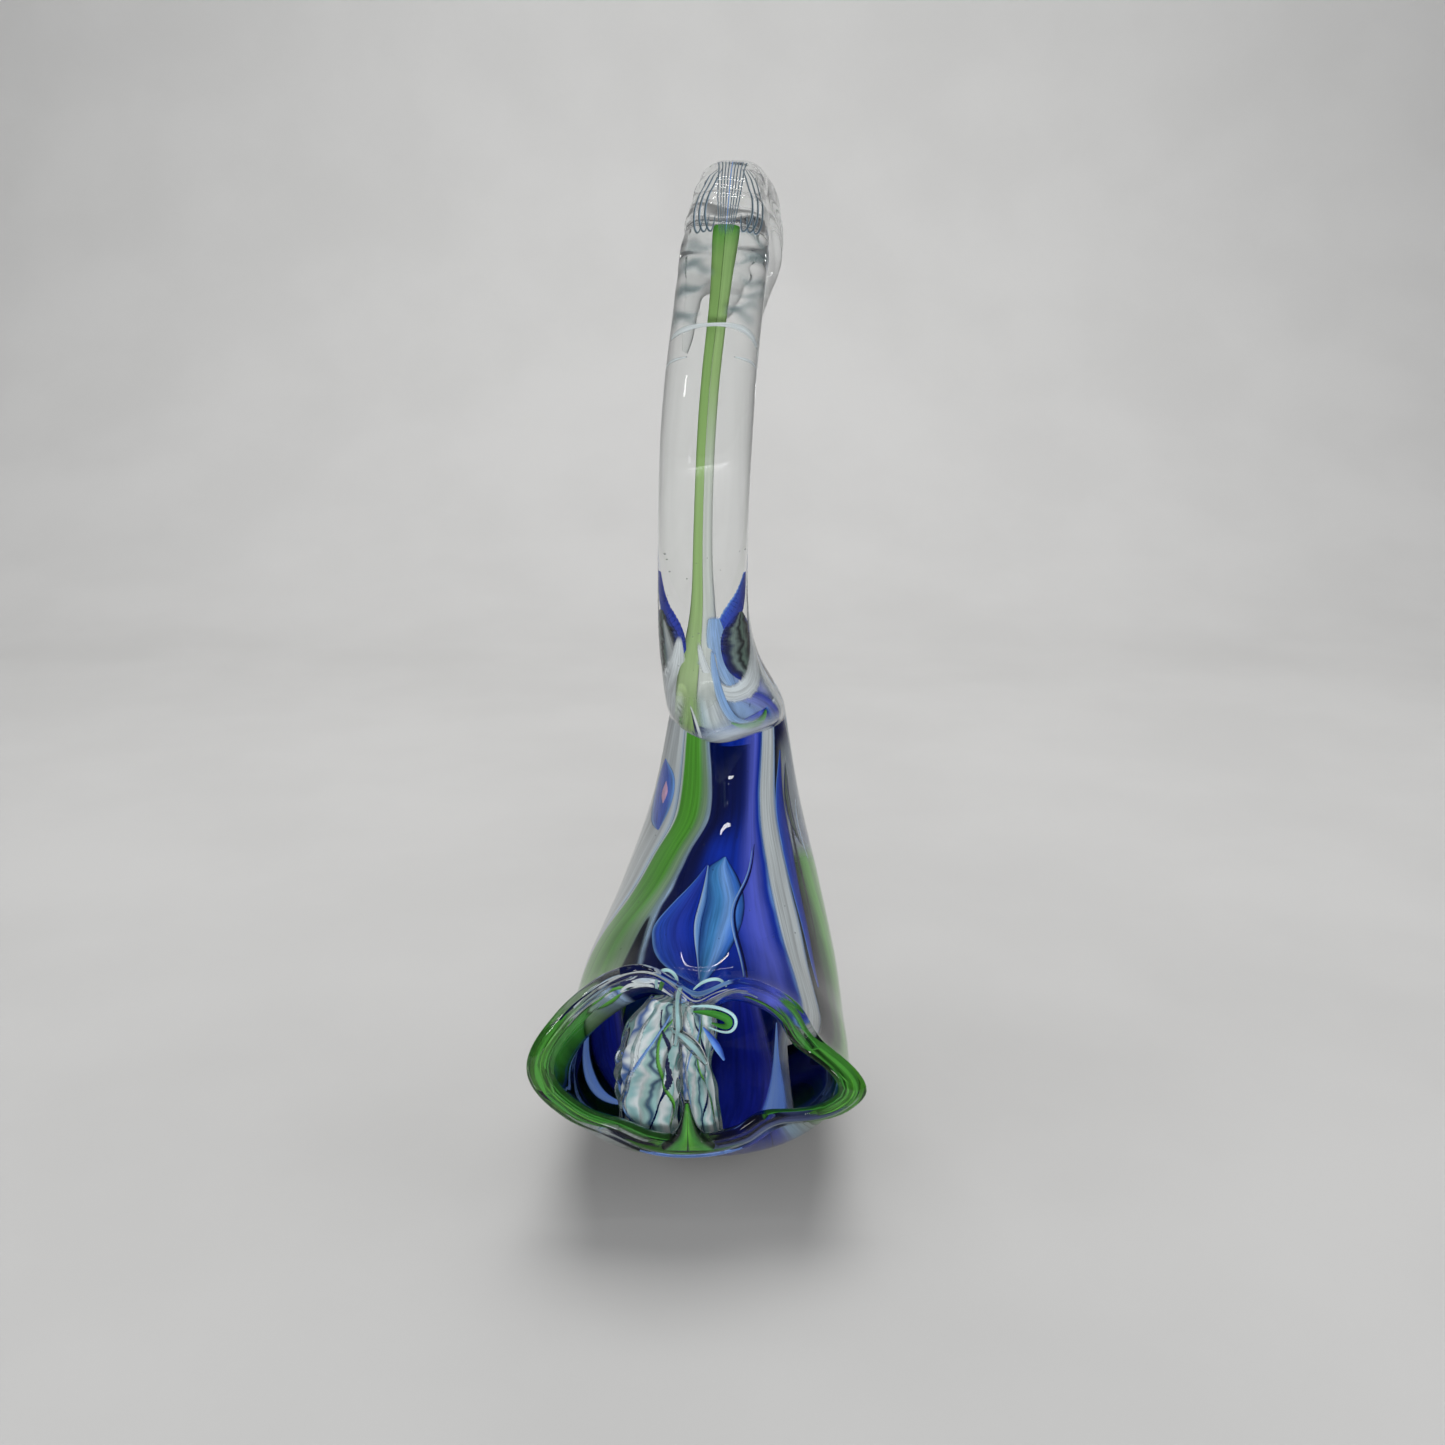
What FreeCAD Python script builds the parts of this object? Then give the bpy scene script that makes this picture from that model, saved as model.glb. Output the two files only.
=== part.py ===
import FreeCAD, Part
import math
import os

from FreeCAD import Vector

# Hand blown art glass vase in the form of a swan, in millimetres.
#
# +Z is up and the swan faces +Y. Its tail end is the open, crimped mouth, which
# faces -Y. The origin is on the table, under the middle of the flat the vase rests on.
#
# The body is a pear-shaped bubble of cased glass: a clear casing outside, a layer of
# coloured bands, and a clear liner round the cavity. The layers run together in the
# neck, where the colours are left as a two-colour thread inside a solid clear rod.

# ---- Driving dimensions -------------------------------------------------------------

CASING = 2.6            # clear glass outside the colours
COLOUR = 0.8            # the coloured layer
LINER = 1.2             # clear glass between the colours and the cavity
FLOOR_GLASS = 1.8       # clear glass left under the colours where the vase rests
BASE_SINK = 0.5         # how far the body is slumped below the table before it is cut flat

# The body's sections are half-planes that fan out from a line along X, as the ribs of
# a scallop do. An angle of 0 points along +Y, and -90 points straight down.
FAN_Y, FAN_Z = -45.0, 95.0
NECK_ANGLE = 8.0        # the section where the body ends and the neck rod starts
RIM_ANGLE = -90.0
CAVITY_TOP_ANGLE = -4.0
NARROW_ANGLE = -22.0    # above this the inner layers start to draw in to the thread
FLARE_ANGLE = -66.0     # below this the body flares out to the rim

# (fan angle, distance from the fan line) of the back and of the belly
BACK = [(8, 68.5), (-6, 50.5), (-18, 42), (-34, 37.5), (-51, 36), (-79, 37.5), (-90, 41)]
BELLY = [(8, 96), (-8, 104), (-24, 112), (-39, 121), (-50, 125), (-60, 112.6), (-68, 105.2),
         (-75, 99.4), (-80.5, 90.5), (-90, 79)]
# (fan angle, half width) and (fan angle, X of the middle)
HALF_WIDTH = [(8, 16.7), (-8, 21.2), (-25, 28.4), (-45, 37), (-65, 39), (-80, 38),
              (-90, 37.5)]
MIDDLE_X = [(8, 1.5), (-8, 1), (-25, -0.5), (-45, -3.6), (-65, -5), (-80, -6), (-90, -6.6)]
EGG = 0.25              # moves the widest place of a section towards the belly
CREASE_DEPTH = 3.5      # crease that runs down the middle of the back to the rim
CREASE_START_ANGLE = -28.0
CREASE_HALF_DEG = 16.0

# The crimped rim round its own middle: (degrees clockwise from the top as seen from
# the mouth, radius, how far that place leans away from the mouth).
RIM_X, RIM_Y, RIM_Z = -6.6, -42.5, 38.0
RIM_SPREAD = 1.1        # how much wider the rim is than its radii
RIM = [(0, 21.6, 0), (23, 26.9, 1), (38, 27.7, 2), (53, 27.9, 3.5), (74, 28.4, 3.5),
       (92, 36.8, -3), (102, 34.3, -2.5), (122, 23.6, 0), (148, 21.6, 0), (180, 21.5, 0.5),
       (211, 23, 0), (234, 24.8, -1), (251, 30, -1.5), (273, 36.3, -1), (297, 33.8, 1.5),
       (313, 32.1, 3), (323, 31.8, 2.5), (338, 30.4, 1)]
LIP_REACH = 3.6         # rounded clear lip beyond the end of the colours
LIP_SWELL = 0.7         # how much the lip swells past the wall

# Coloured bands: (name, where the band starts: degrees round from the middle of the
# back, at fan angles from the neck to the rim). Each band ends where the next starts.
BANDS = [("blue_back_band", [(8, -29), (-3, -18), (-9, -18), (-18, -27), (-31, -31),
                             (-60, -34), (-90, -42)]),
         ("white_right_band", [(8, 50), (-5, 36.5), (-25, 35), (-45, 41), (-60, 49),
                               (-76, 57), (-90, 60)]),
         ("green_right_band", [(8, 66), (-6, 50), (-25, 47), (-42, 51), (-56, 58),
                               (-67, 66), (-90, 70)]),
         ("white_chest_right_band", [(8, 100), (-18, 108), (-40, 132), (-52, 143),
                                     (-63, 141), (-75, 124), (-90, 108)]),
         ("blue_chest_band", [(8, 125), (-18, 133), (-40, 147), (-52, 154), (-68, 156),
                              (-76, 148), (-90, 124)]),
         ("green_chest_left_band", [(8, 222), (-30, 218), (-54, 222), (-68, 206),
                                    (-90, 200)]),
         ("white_left_band", [(8, 240), (-30, 232), (-54, 235), (-68, 216), (-90, 210)]),
         ("green_left_band", [(8, 296), (-4, 304), (-11, 306), (-19, 300), (-34, 290),
                              (-45, 268), (-60, 250), (-90, 232)])]

# Where the layers end at the neck: half width and half depth of each ring
COLOUR_OUTER_END = (6.5, 4.2)
COLOUR_INNER_END = (2.6, 1.6)
CAVITY_END = (2.0, 2.0)

# Spot of blue glass with a pink middle, pressed into the white band on the left
SPOT_BAND = "white_left_band"
SPOT_AT_DEG, SPOT_FAN_ANGLE = 281.0, -8.0
SPOT_HALF_HEIGHT, SPOT_HALF_WIDTH = 7.6, 5.0
SPOT_CORE_SHARE = 0.4
SPOT_REACH = 3.0        # how far the tool that shapes the spot reaches to each side

# Solid neck and head: (x, y, z of the middle, tilt of the section, half width, half
# depth on the outer side of the bend, half depth on the inner side). The first
# section is the body's own last one.
NECK = [(0.6, 33, 113, 12, 16, 13, 13), (-2.4, 29, 122, 14, 14.2, 11, 11.5),
        (-4.9, 24.5, 136, 14, 12.5, 9.8, 10), (-5.2, 20, 156, 12, 11.9, 9.2, 9),
        (-4.6, 17.5, 178, 5, 11.9, 9, 9), (-3.1, 18, 200, -5, 11.7, 9, 9),
        (-0.9, 21.5, 219, -18, 11.4, 9, 9), (1.0, 28, 235, -40, 11, 9, 9),
        (2.2, 38, 245, -65, 9, 9, 9), (3.2, 50, 247.8, -90, 9, 9, 9)]
HEAD = [(4.4, 60, 244.5, -114, 11, 9.8, 10.2), (5.2, 68, 235.5, -138, 11.6, 10.2, 10.8),
        (5.6, 73, 225, -156, 8.6, 7.4, 7.6)]
BEAK = [(5.6, 76, 216, -164, 5.8, 4.6, 4.6), (5.5, 78.2, 209.5, -168, 5, 2.7, 2.7),
        (5.4, 79.2, 205, -168, 2.9, 1.2, 1.2)]
FLATNESS = 0.12         # how much the rod's section is squared off
# The heel: where the neck kinks back, it swells and droops over the body's back. The
# swelling at each neck section, how far round it spreads, and the droop's share of it.
HEEL = [7.5, 5, 1.2]
HEEL_DEG, HEEL_HALF_DEG = -8.0, 40.0
HEEL_DROOP = 0.3
# The thread's half width and half depth at each neck section, until it ends
THREAD = [(6.2, 4), (4.8, 3.4), (3.2, 2.4), (2.5, 1.8), (2.3, 1.7), (2.3, 1.7), (2.4, 1.7),
          (2, 1.5)]

# Two folds of the pinched upper lip that hang in the mouth and stand on the lower lip:
# (x, y, z of the middle, half width, half depth) down each fold
LEFT_FOLD = [(-12, -42, 57.5, 5.4, 3.2), (-15.5, -41, 49, 7.8, 3.4),
             (-17.5, -39, 39, 7.8, 3.6), (-18, -37, 29, 8, 3.4), (-17.5, -34, 15.5, 8, 3)]
RIGHT_FOLD = [(-6, -42, 57, 4.2, 3), (-6, -42.5, 49, 4, 3), (-6.6, -41, 40, 3.6, 3),
              (-5.6, -38, 30, 4, 2.8), (-4.6, -34.5, 16, 4.6, 2.6)]
FOLD_WRINKLE, FOLD_RIDGES = 0.1, 5
# Peak of green glass where the pinch draws the middle of the lower lip up
CUSP = [(-8.2, -43.2, 17.5, 9, 2.2), (-8.4, -43.8, 22, 3.8, 2), (-8.6, -44, 26.5, 1.5, 1.4),
        (-8.7, -43.8, 31, 0.5, 0.5)]
OUTLET = 15.0           # how far in front of the rim the open space is followed

TABLE = 200.0           # half width of the block below the table top
AROUND = 36             # points round each ring
STATIONS = 15           # rings along the body


# ---- Curves and surfaces ------------------------------------------------------------

def smooth(table, at):
    """Value at a place on the smooth curve through a table of (place, value) pairs."""
    table = sorted(table)
    places = [place for place, _ in table]
    values = [value for _, value in table]
    at = min(max(at, places[0]), places[-1])
    left = max(k for k in range(len(places) - 1) if places[k] <= at)
    slopes = [(values[k + 1] - values[k]) / (places[k + 1] - places[k])
              for k in range(len(places) - 1)]
    knot_slopes = [slopes[0]]
    knot_slopes += [(a + b) / 2 for a, b in zip(slopes, slopes[1:])]
    knot_slopes += [slopes[-1]]
    span = places[left + 1] - places[left]
    t = (at - places[left]) / span
    return (values[left] * (1 + 2 * t) * (1 - t) ** 2
            + knot_slopes[left] * span * t * (1 - t) ** 2
            + values[left + 1] * t * t * (3 - 2 * t)
            - knot_slopes[left + 1] * span * t * t * (1 - t))


def ease(t):
    """0 to 1 with flat ends."""
    t = min(max(t, 0.0), 1.0)
    return t * t * (3 - 2 * t)


def soft_max(value, floor, rounding=1.0):
    """The value, but never under the floor, with a rounded corner."""
    above = value - floor
    return floor + (above + math.hypot(above, rounding)) / 2


def spline(points, closed):
    """Spline through points, evenly spaced in its own parameter from 0 to 1."""
    curve = Part.BSplineCurve()
    spans = len(points) if closed else len(points) - 1
    steps = [k / spans for k in range(spans + 1)]
    if closed:
        curve.interpolate(Points=points, PeriodicFlag=True, Parameters=steps)
    else:
        curve.interpolate(Points=points, Parameters=steps)
    return curve


def skin(rings):
    """Smooth surface through closed rings of points; u goes round, v from ring to ring."""
    rows = [spline(ring, True) for ring in rings]
    poles = [row.getPoles() for row in rows]
    columns = [spline([row[k] for row in poles], False) for k in range(len(poles[0]))]
    surface = Part.BSplineSurface()
    surface.buildFromPolesMultsKnots(
        [column.getPoles() for column in columns],
        rows[0].getMultiplicities(), columns[0].getMultiplicities(),
        rows[0].getKnots(), columns[0].getKnots(),
        True, False, rows[0].Degree, columns[0].Degree)
    return surface


def ring_edge(surface, v, u_range=(0, 1)):
    """The edge of a surface's ring at v, or a stretch of it."""
    return surface.vIso(v).toShape(*u_range)


def disc(surface, v):
    """Flat face inside the ring at v of a surface."""
    return Part.Face(Part.Wire(ring_edge(surface, v)))


def solid(faces):
    """Closed solid from faces that meet edge to edge."""
    shell = Part.Shell([face for shape in faces for face in shape.Faces])
    shell.sewShape()
    made = Part.Solid(shell)
    if made.Volume < 0:
        made.reverse()
    return made


def block(outer, inner, u_range=(0, 1), v_ends=(0, 1)):
    """Glass between two skins, over a stretch of their u."""
    faces = [outer.toShape(*u_range, *v_ends), inner.toShape(*u_range, *v_ends)]
    faces += [Part.makeRuledSurface(ring_edge(outer, v, u_range), ring_edge(inner, v, u_range))
              for v in v_ends]
    if u_range != (0, 1):
        faces += [Part.makeRuledSurface(outer.uIso(u % 1).toShape(), inner.uIso(u % 1).toShape())
                  for u in u_range]
    return solid(faces)


# ---- Body ---------------------------------------------------------------------------

def band_start(k, fan_angle):
    """Degrees where band k starts at a fan angle, counting on past one turn."""
    return smooth(BANDS[k % len(BANDS)][1], fan_angle) + 360 * (k // len(BANDS))


def band_share(k):
    """Share of the way round, 0 to 1 from the first band's start, where band k starts."""
    middle = (NECK_ANGLE + RIM_ANGLE) / 2
    return (band_start(k, middle) - band_start(0, middle)) / 360


def band_angle(share, fan_angle):
    """Degrees from the middle of the back at a share of the way round, so that lines of
    equal share follow the coloured bands from the neck to the rim."""
    k = max(j for j in range(len(BANDS)) if band_share(j) <= share)
    start, end = band_start(k, fan_angle), band_start(k + 1, fan_angle)
    return start + (end - start) * (share - band_share(k)) / (band_share(k + 1) - band_share(k))


def neck_share(degrees):
    """Share of the way round that lies at the given degrees at the neck."""
    k = max(j for j in range(len(BANDS)) if band_start(j, NECK_ANGLE) <= degrees)
    start, end = band_start(k, NECK_ANGLE), band_start(k + 1, NECK_ANGLE)
    return band_share(k) + (degrees - start) / (end - start) * (band_share(k + 1) - band_share(k))


def fan_point(x, distance, fan_angle):
    fan = math.radians(fan_angle)
    return Vector(x, FAN_Y + distance * math.cos(fan), FAN_Z + distance * math.sin(fan))


def rim_point(degrees, depth):
    """Place on the crimped rim, depth mm inside the outer face."""
    turn = degrees % 360
    table = [(a - 360, r, lean) for a, r, lean in RIM[-3:]] + RIM
    table += [(a + 360, r, lean) for a, r, lean in RIM[:3]]
    radius = smooth([(a, r) for a, r, _ in table], turn) - depth
    lean = smooth([(a, lean) for a, _, lean in table], turn)
    angle = math.radians(turn)
    return Vector(RIM_X + RIM_SPREAD * radius * math.sin(angle), RIM_Y + lean,
                  RIM_Z + radius * math.cos(angle))


def body_point(degrees, fan_angle, depth, end=None, end_angle=NECK_ANGLE):
    """Place on the body, depth mm inside the outer face, degrees round from the middle of
    the back. With end, a layer's half width and half depth at end_angle, it draws in."""
    angle = math.radians(degrees)
    back = smooth(BACK, fan_angle)
    belly = smooth(BELLY, fan_angle)
    width = smooth(HALF_WIDTH, fan_angle) - depth
    half = (belly - back) / 2 - depth
    distance = (belly + back) / 2 - half * math.cos(angle)
    sideways = width * math.sin(angle) * (1 - EGG * math.cos(angle)) / (1 + EGG * EGG / 2)
    towards_rim = ease((CREASE_START_ANGLE - fan_angle) / (CREASE_START_ANGLE - RIM_ANGLE))
    off_crease = ((degrees + 180) % 360 - 180) / CREASE_HALF_DEG
    distance += CREASE_DEPTH * towards_rim * math.exp(-off_crease ** 2)
    if end:
        narrowed = ease((fan_angle - NARROW_ANGLE) / (end_angle - NARROW_ANGLE))
        core = (belly + back) / 2 - end[1] * math.cos(angle)
        distance += (core - distance) * narrowed
        sideways += (end[0] * math.sin(angle) - sideways) * narrowed
    point = fan_point(smooth(MIDDLE_X, fan_angle) + sideways, distance, fan_angle)
    floor = -BASE_SINK if depth == 0 else FLOOR_GLASS + depth - CASING
    point.z = soft_max(point.z, floor)
    flare = ease((FLARE_ANGLE - fan_angle) / (FLARE_ANGLE - RIM_ANGLE))
    return point + (rim_point(degrees, depth) - point) * flare


def body_ring(fan_angle, depth, end=None, end_angle=NECK_ANGLE):
    return [body_point(band_angle(k / AROUND, fan_angle), fan_angle, depth, end, end_angle)
            for k in range(AROUND)]


def body_skin(depth, end=None, end_angle=NECK_ANGLE):
    """One face of the body's layers, from its end at the neck (v = 0) to the rim (v = 1)."""
    step = (end_angle - RIM_ANGLE) / (STATIONS - 1)
    return skin([body_ring(end_angle - k * step, depth, end, end_angle)
                 for k in range(STATIONS)])


OUTER = body_skin(0)
COLOUR_OUTER = body_skin(CASING, COLOUR_OUTER_END)
COLOUR_INNER = body_skin(CASING + COLOUR, COLOUR_INNER_END)
CAVITY = body_skin(CASING + COLOUR + LINER, CAVITY_END, CAVITY_TOP_ANGLE)


def below_table():
    return Part.makeBox(2 * TABLE, 2 * TABLE, TABLE, Vector(-TABLE, -TABLE, -TABLE))


def clear_casing():
    return block(OUTER, COLOUR_OUTER).cut(below_table())


def colour_band(k):
    return block(COLOUR_OUTER, COLOUR_INNER, (band_share(k), band_share(k + 1)))


def clear_liner():
    rim_face = Part.makeRuledSurface(ring_edge(COLOUR_INNER, 1), ring_edge(CAVITY, 1))
    return solid([COLOUR_INNER.toShape(), CAVITY.toShape(), rim_face,
                  disc(COLOUR_INNER, 0), disc(CAVITY, 0)])


def rim_lip():
    """Rounded clear lip that closes the ends of all the layers."""
    wall = CASING + COLOUR + LINER
    profile = [(0, 0), (-LIP_SWELL, 0.45), (-LIP_SWELL * 0.5, 0.8), (wall / 2, 1),
               (wall + LIP_SWELL * 0.5, 0.8), (wall + LIP_SWELL, 0.45), (wall, 0)]
    rings = []
    for depth, reach in profile:
        ring = [rim_point(band_angle(k / AROUND, RIM_ANGLE), depth) for k in range(AROUND)]
        rings.append([point - Vector(0, reach * LIP_REACH, 0) for point in ring])
    layers = [OUTER, COLOUR_OUTER, COLOUR_INNER, CAVITY]
    ends = [Part.makeRuledSurface(ring_edge(a, 1), ring_edge(b, 1))
            for a, b in zip(layers, layers[1:])]
    return solid([skin(rings).toShape(), *ends])


def spot_tool(share_of_size):
    """Elliptical bar through the wall, along the wall's own normal at the spot."""
    middle, above, beside = [
        body_point(SPOT_AT_DEG + turn, SPOT_FAN_ANGLE + rise, CASING + COLOUR / 2,
                   COLOUR_OUTER_END) for turn, rise in ((0, 0), (0, 1), (1, 0))]
    along = (above - middle).normalize()
    normal = along.cross(beside - middle).normalize()
    ellipse = Part.Ellipse(Vector(0, 0, 0), SPOT_HALF_HEIGHT * share_of_size,
                           SPOT_HALF_WIDTH * share_of_size)
    bar = Part.Face(Part.Wire(ellipse.toShape())).extrude(Vector(0, 0, 2 * SPOT_REACH))
    turn = FreeCAD.Rotation(along, normal.cross(along), normal, "XZY")
    bar.Placement = FreeCAD.Placement(middle - normal * SPOT_REACH, turn)
    return bar


# ---- Neck, head and beak ------------------------------------------------------------

def rod_ring(station, scale=None, heel=0.0):
    """Ring of a solid rod; with scale, a half width and half depth of its own."""
    x, y, z, tilt, half_width, outer_depth, inner_depth = station
    if scale:
        half_width, outer_depth, inner_depth = scale[0], scale[1], scale[1]
    tilt = math.radians(tilt)
    into = Vector(0, math.cos(tilt), math.sin(tilt))
    ring = []
    for k in range(AROUND):
        angle = math.radians(band_angle(k / AROUND, NECK_ANGLE))
        squared = 1 + FLATNESS * math.sin(2 * angle) ** 2
        depth = outer_depth if math.cos(angle) > 0 else inner_depth
        off_heel = ((math.degrees(angle) - HEEL_DEG + 180) % 360 - 180) / HEEL_HALF_DEG
        swell = heel * math.exp(-off_heel ** 2)
        middle = Vector(x + half_width * squared * math.sin(angle), y, z - HEEL_DROOP * swell)
        ring.append(middle - into * (depth * squared * math.cos(angle) + swell))
    return ring


HEAD_JOINT, BEAK_JOINT = NECK[-1], HEAD[-1]
HEELS = HEEL + [0] * (len(NECK) - len(HEEL))
NECK_SKIN = skin([body_ring(NECK_ANGLE, 0)]
                 + [rod_ring(station, heel=heel) for station, heel in zip(NECK, HEELS)])
THREAD_SKIN = skin([body_ring(NECK_ANGLE, CASING, COLOUR_OUTER_END)]
                   + [rod_ring(station, size) for station, size in zip(NECK, THREAD)])
HEAD_SKIN = skin([rod_ring(station) for station in [HEAD_JOINT] + HEAD])
BEAK_SKIN = skin([rod_ring(station) for station in [BEAK_JOINT] + BEAK])


def neck_rod():
    base = Part.makeRuledSurface(ring_edge(NECK_SKIN, 0), ring_edge(THREAD_SKIN, 0))
    return solid([NECK_SKIN.toShape(), base, THREAD_SKIN.toShape(),
                  disc(THREAD_SKIN, 1), disc(NECK_SKIN, 1)])


def thread_half(u_range):
    """Half of the coloured thread, closed by a flat side where the two halves meet."""
    sides = [THREAD_SKIN.uIso(u % 1).toShape() for u in u_range]
    middle = Part.makeRuledSurface(*sides)
    ends = []
    for v in (0, 1):
        arc = ring_edge(THREAD_SKIN, v, u_range)
        chord = Part.makeLine(arc.Vertexes[0].Point, arc.Vertexes[-1].Point)
        ends.append(Part.Face(Part.Wire([arc, chord])))
    return solid([THREAD_SKIN.toShape(*u_range, 0, 1), middle, *ends])


def capped(surface):
    return solid([surface.toShape(), disc(surface, 0), disc(surface, 1)])


# ---- Pinched folds in the mouth ------------------------------------------------------

def open_space():
    """The air of the cavity, and of a little way out of the mouth."""
    front = RIM_Y - OUTLET
    ring = [rim_point(band_angle(k / AROUND, RIM_ANGLE), CASING + COLOUR + LINER)
            for k in range(AROUND)]
    outlet = spline([Vector(point.x, front, point.z) for point in ring], True).toShape()
    tube = Part.makeRuledSurface(ring_edge(CAVITY, 1), outlet)
    return solid([CAVITY.toShape(), disc(CAVITY, 0), tube, Part.Face(Part.Wire(outlet))])


def fold(stations, wrinkle_size=FOLD_WRINKLE):
    rings = []
    for x, y, z, half_width, half_depth in stations:
        ring = []
        for k in range(AROUND):
            angle = 2 * math.pi * k / AROUND
            wrinkle = 1 + wrinkle_size * math.cos(FOLD_RIDGES * angle)
            ring.append(Vector(x + half_width * wrinkle * math.sin(angle),
                               y + half_depth * wrinkle * math.cos(angle), z))
        rings.append(ring)
    return capped(skin(rings))


def largest(shape):
    return max(shape.Solids, key=lambda piece: piece.Volume)


# ---- The parts ----------------------------------------------------------------------

def build():
    parts = {"clear_casing": clear_casing(), "clear_liner": clear_liner(),
             "rim_lip": rim_lip()}
    for k, band in enumerate(BANDS):
        parts[band[0]] = colour_band(k)
    spot, spot_core = spot_tool(1), spot_tool(SPOT_CORE_SHARE)
    white = parts[SPOT_BAND]
    parts[SPOT_BAND] = white.cut(spot)
    parts["blue_spot"] = white.common(spot).cut(spot_core)
    parts["pink_spot_core"] = white.common(spot_core)

    parts["neck_rod"] = neck_rod()
    back, front = neck_share(0), neck_share(180)
    parts["white_thread"] = thread_half((back, front))
    parts["green_thread"] = thread_half((front, back + 1))
    parts["head"] = capped(HEAD_SKIN)
    parts["beak"] = capped(BEAK_SKIN)

    air = open_space().cut(parts["rim_lip"])
    left = largest(fold(LEFT_FOLD).common(air))
    right = largest(fold(RIGHT_FOLD).common(air).cut(left))
    parts["left_pinch_fold"], parts["right_pinch_fold"] = left, right
    cusp = fold(CUSP, wrinkle_size=0).common(air)
    parts["lower_lip_cusp"] = largest(cusp.cut(left).cut(right))
    return parts


os.makedirs("parts", exist_ok=True)
for node, shape in build().items():
    shape.exportStep(os.path.join("parts", node + ".step"))
    box = shape.BoundBox
    print(f"{node:24s} {len(shape.Solids)} solid, valid {shape.isValid()}, "
          f"{shape.Volume / 1000:7.2f} cm3, X {box.XMin:.1f} {box.XMax:.1f} "
          f"Y {box.YMin:.1f} {box.YMax:.1f} Z {box.ZMin:.1f} {box.ZMax:.1f}")
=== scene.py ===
import math
import random

import bmesh
import bpy
import numpy as np
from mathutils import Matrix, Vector


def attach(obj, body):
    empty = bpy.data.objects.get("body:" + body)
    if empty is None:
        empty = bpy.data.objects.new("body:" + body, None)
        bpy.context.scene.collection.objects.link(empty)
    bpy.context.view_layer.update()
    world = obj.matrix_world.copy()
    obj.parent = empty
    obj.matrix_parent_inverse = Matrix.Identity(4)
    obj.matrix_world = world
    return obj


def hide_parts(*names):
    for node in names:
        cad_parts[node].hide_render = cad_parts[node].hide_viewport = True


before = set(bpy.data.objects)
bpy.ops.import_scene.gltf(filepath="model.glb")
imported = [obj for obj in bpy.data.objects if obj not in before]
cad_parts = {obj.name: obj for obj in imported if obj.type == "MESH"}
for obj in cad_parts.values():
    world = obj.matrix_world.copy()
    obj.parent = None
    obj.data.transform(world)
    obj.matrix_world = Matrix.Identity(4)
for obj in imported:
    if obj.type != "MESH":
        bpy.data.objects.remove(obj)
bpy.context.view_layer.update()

# A hand blown art glass vase in the form of a swan, seen from its open tail end.
# Everything is worked out in millimetres, as the design is, and turned into metres when
# a mesh is made.

MM = 0.001
SEED = 7
# The record's material slots
IN_CLEAR, IN_WHITE, IN_PINK = "clear_glass", "white_glass", "pink_glass"
IN_GREEN, IN_BLUE = "green_glass", "cobalt_blue_glass"

# The design's own dimensions, down to the heel
CASING, COLOUR, LINER = 2.6, 0.8, 1.2
FLOOR_GLASS, BASE_SINK = 1.8, 0.5
FAN_Y, FAN_Z = -45.0, 95.0
NECK_ANGLE, RIM_ANGLE = 8.0, -90.0
CAVITY_TOP_ANGLE, NARROW_ANGLE, FLARE_ANGLE = -4.0, -22.0, -66.0
BACK = [(8, 68.5), (-6, 50.5), (-18, 42), (-34, 37.5), (-51, 36), (-79, 37.5), (-90, 41)]
BELLY = [(8, 96), (-8, 104), (-24, 112), (-39, 121), (-50, 125), (-60, 112.6), (-68, 105.2),
         (-75, 99.4), (-80.5, 90.5), (-90, 79)]
HALF_WIDTH = [(8, 16.7), (-8, 21.2), (-25, 28.4), (-45, 37), (-65, 39), (-80, 38),
              (-90, 37.5)]
MIDDLE_X = [(8, 1.5), (-8, 1), (-25, -0.5), (-45, -3.6), (-65, -5), (-80, -6), (-90, -6.6)]
EGG = 0.25
CREASE_DEPTH, CREASE_START_ANGLE, CREASE_HALF_DEG = 3.5, -28.0, 16.0
RIM_X, RIM_Y, RIM_Z, RIM_SPREAD = -6.6, -42.5, 38.0, 1.1
RIM = [(0, 21.6, 0), (23, 26.9, 1), (38, 27.7, 2), (53, 27.9, 3.5), (74, 28.4, 3.5),
       (92, 36.8, -3), (102, 34.3, -2.5), (122, 23.6, 0), (148, 21.6, 0), (180, 21.5, 0.5),
       (211, 23, 0), (234, 24.8, -1), (251, 30, -1.5), (273, 36.3, -1), (297, 33.8, 1.5),
       (313, 32.1, 3), (323, 31.8, 2.5), (338, 30.4, 1)]
LIP_REACH, LIP_SWELL = 3.6, 0.7
CAVITY_END = (2.0, 2.0)

# (x, y, z, tilt, half width, outer half depth, inner half depth) up the neck
NECK = [(0.6, 33, 113, 12, 16, 13, 13), (-2.4, 29, 122, 14, 14.2, 11, 11.5),
        (-4.9, 24.5, 136, 14, 12.5, 9.8, 10), (-5.2, 20, 156, 12, 11.9, 9.2, 9),
        (-4.6, 17.5, 178, 5, 11.9, 9, 9), (-3.1, 18, 200, -5, 11.7, 9, 9),
        (-0.9, 21.5, 219, -18, 11.4, 9, 9), (1.0, 28, 235, -40, 11, 9, 9),
        (2.2, 38, 245, -65, 9, 9, 9), (3.2, 50, 247.8, -90, 9, 9, 9)]
HEAD = [(4.4, 60, 244.5, -114, 11, 9.8, 10.2), (5.2, 68, 235.5, -138, 11.6, 10.2, 10.8),
        (5.6, 73, 225, -156, 8.6, 7.4, 7.6)]
BEAK = [(5.6, 76, 216, -164, 5.8, 4.6, 4.6), (5.5, 78.2, 209.5, -168, 5, 2.7, 2.7),
        (5.4, 79.2, 205, -168, 2.9, 1.2, 1.2)]
FLATNESS = 0.12
HEEL = [7.5, 5, 1.2]
HEEL_DEG, HEEL_HALF_DEG, HEEL_DROOP = -8.0, 40.0, 0.3

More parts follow.
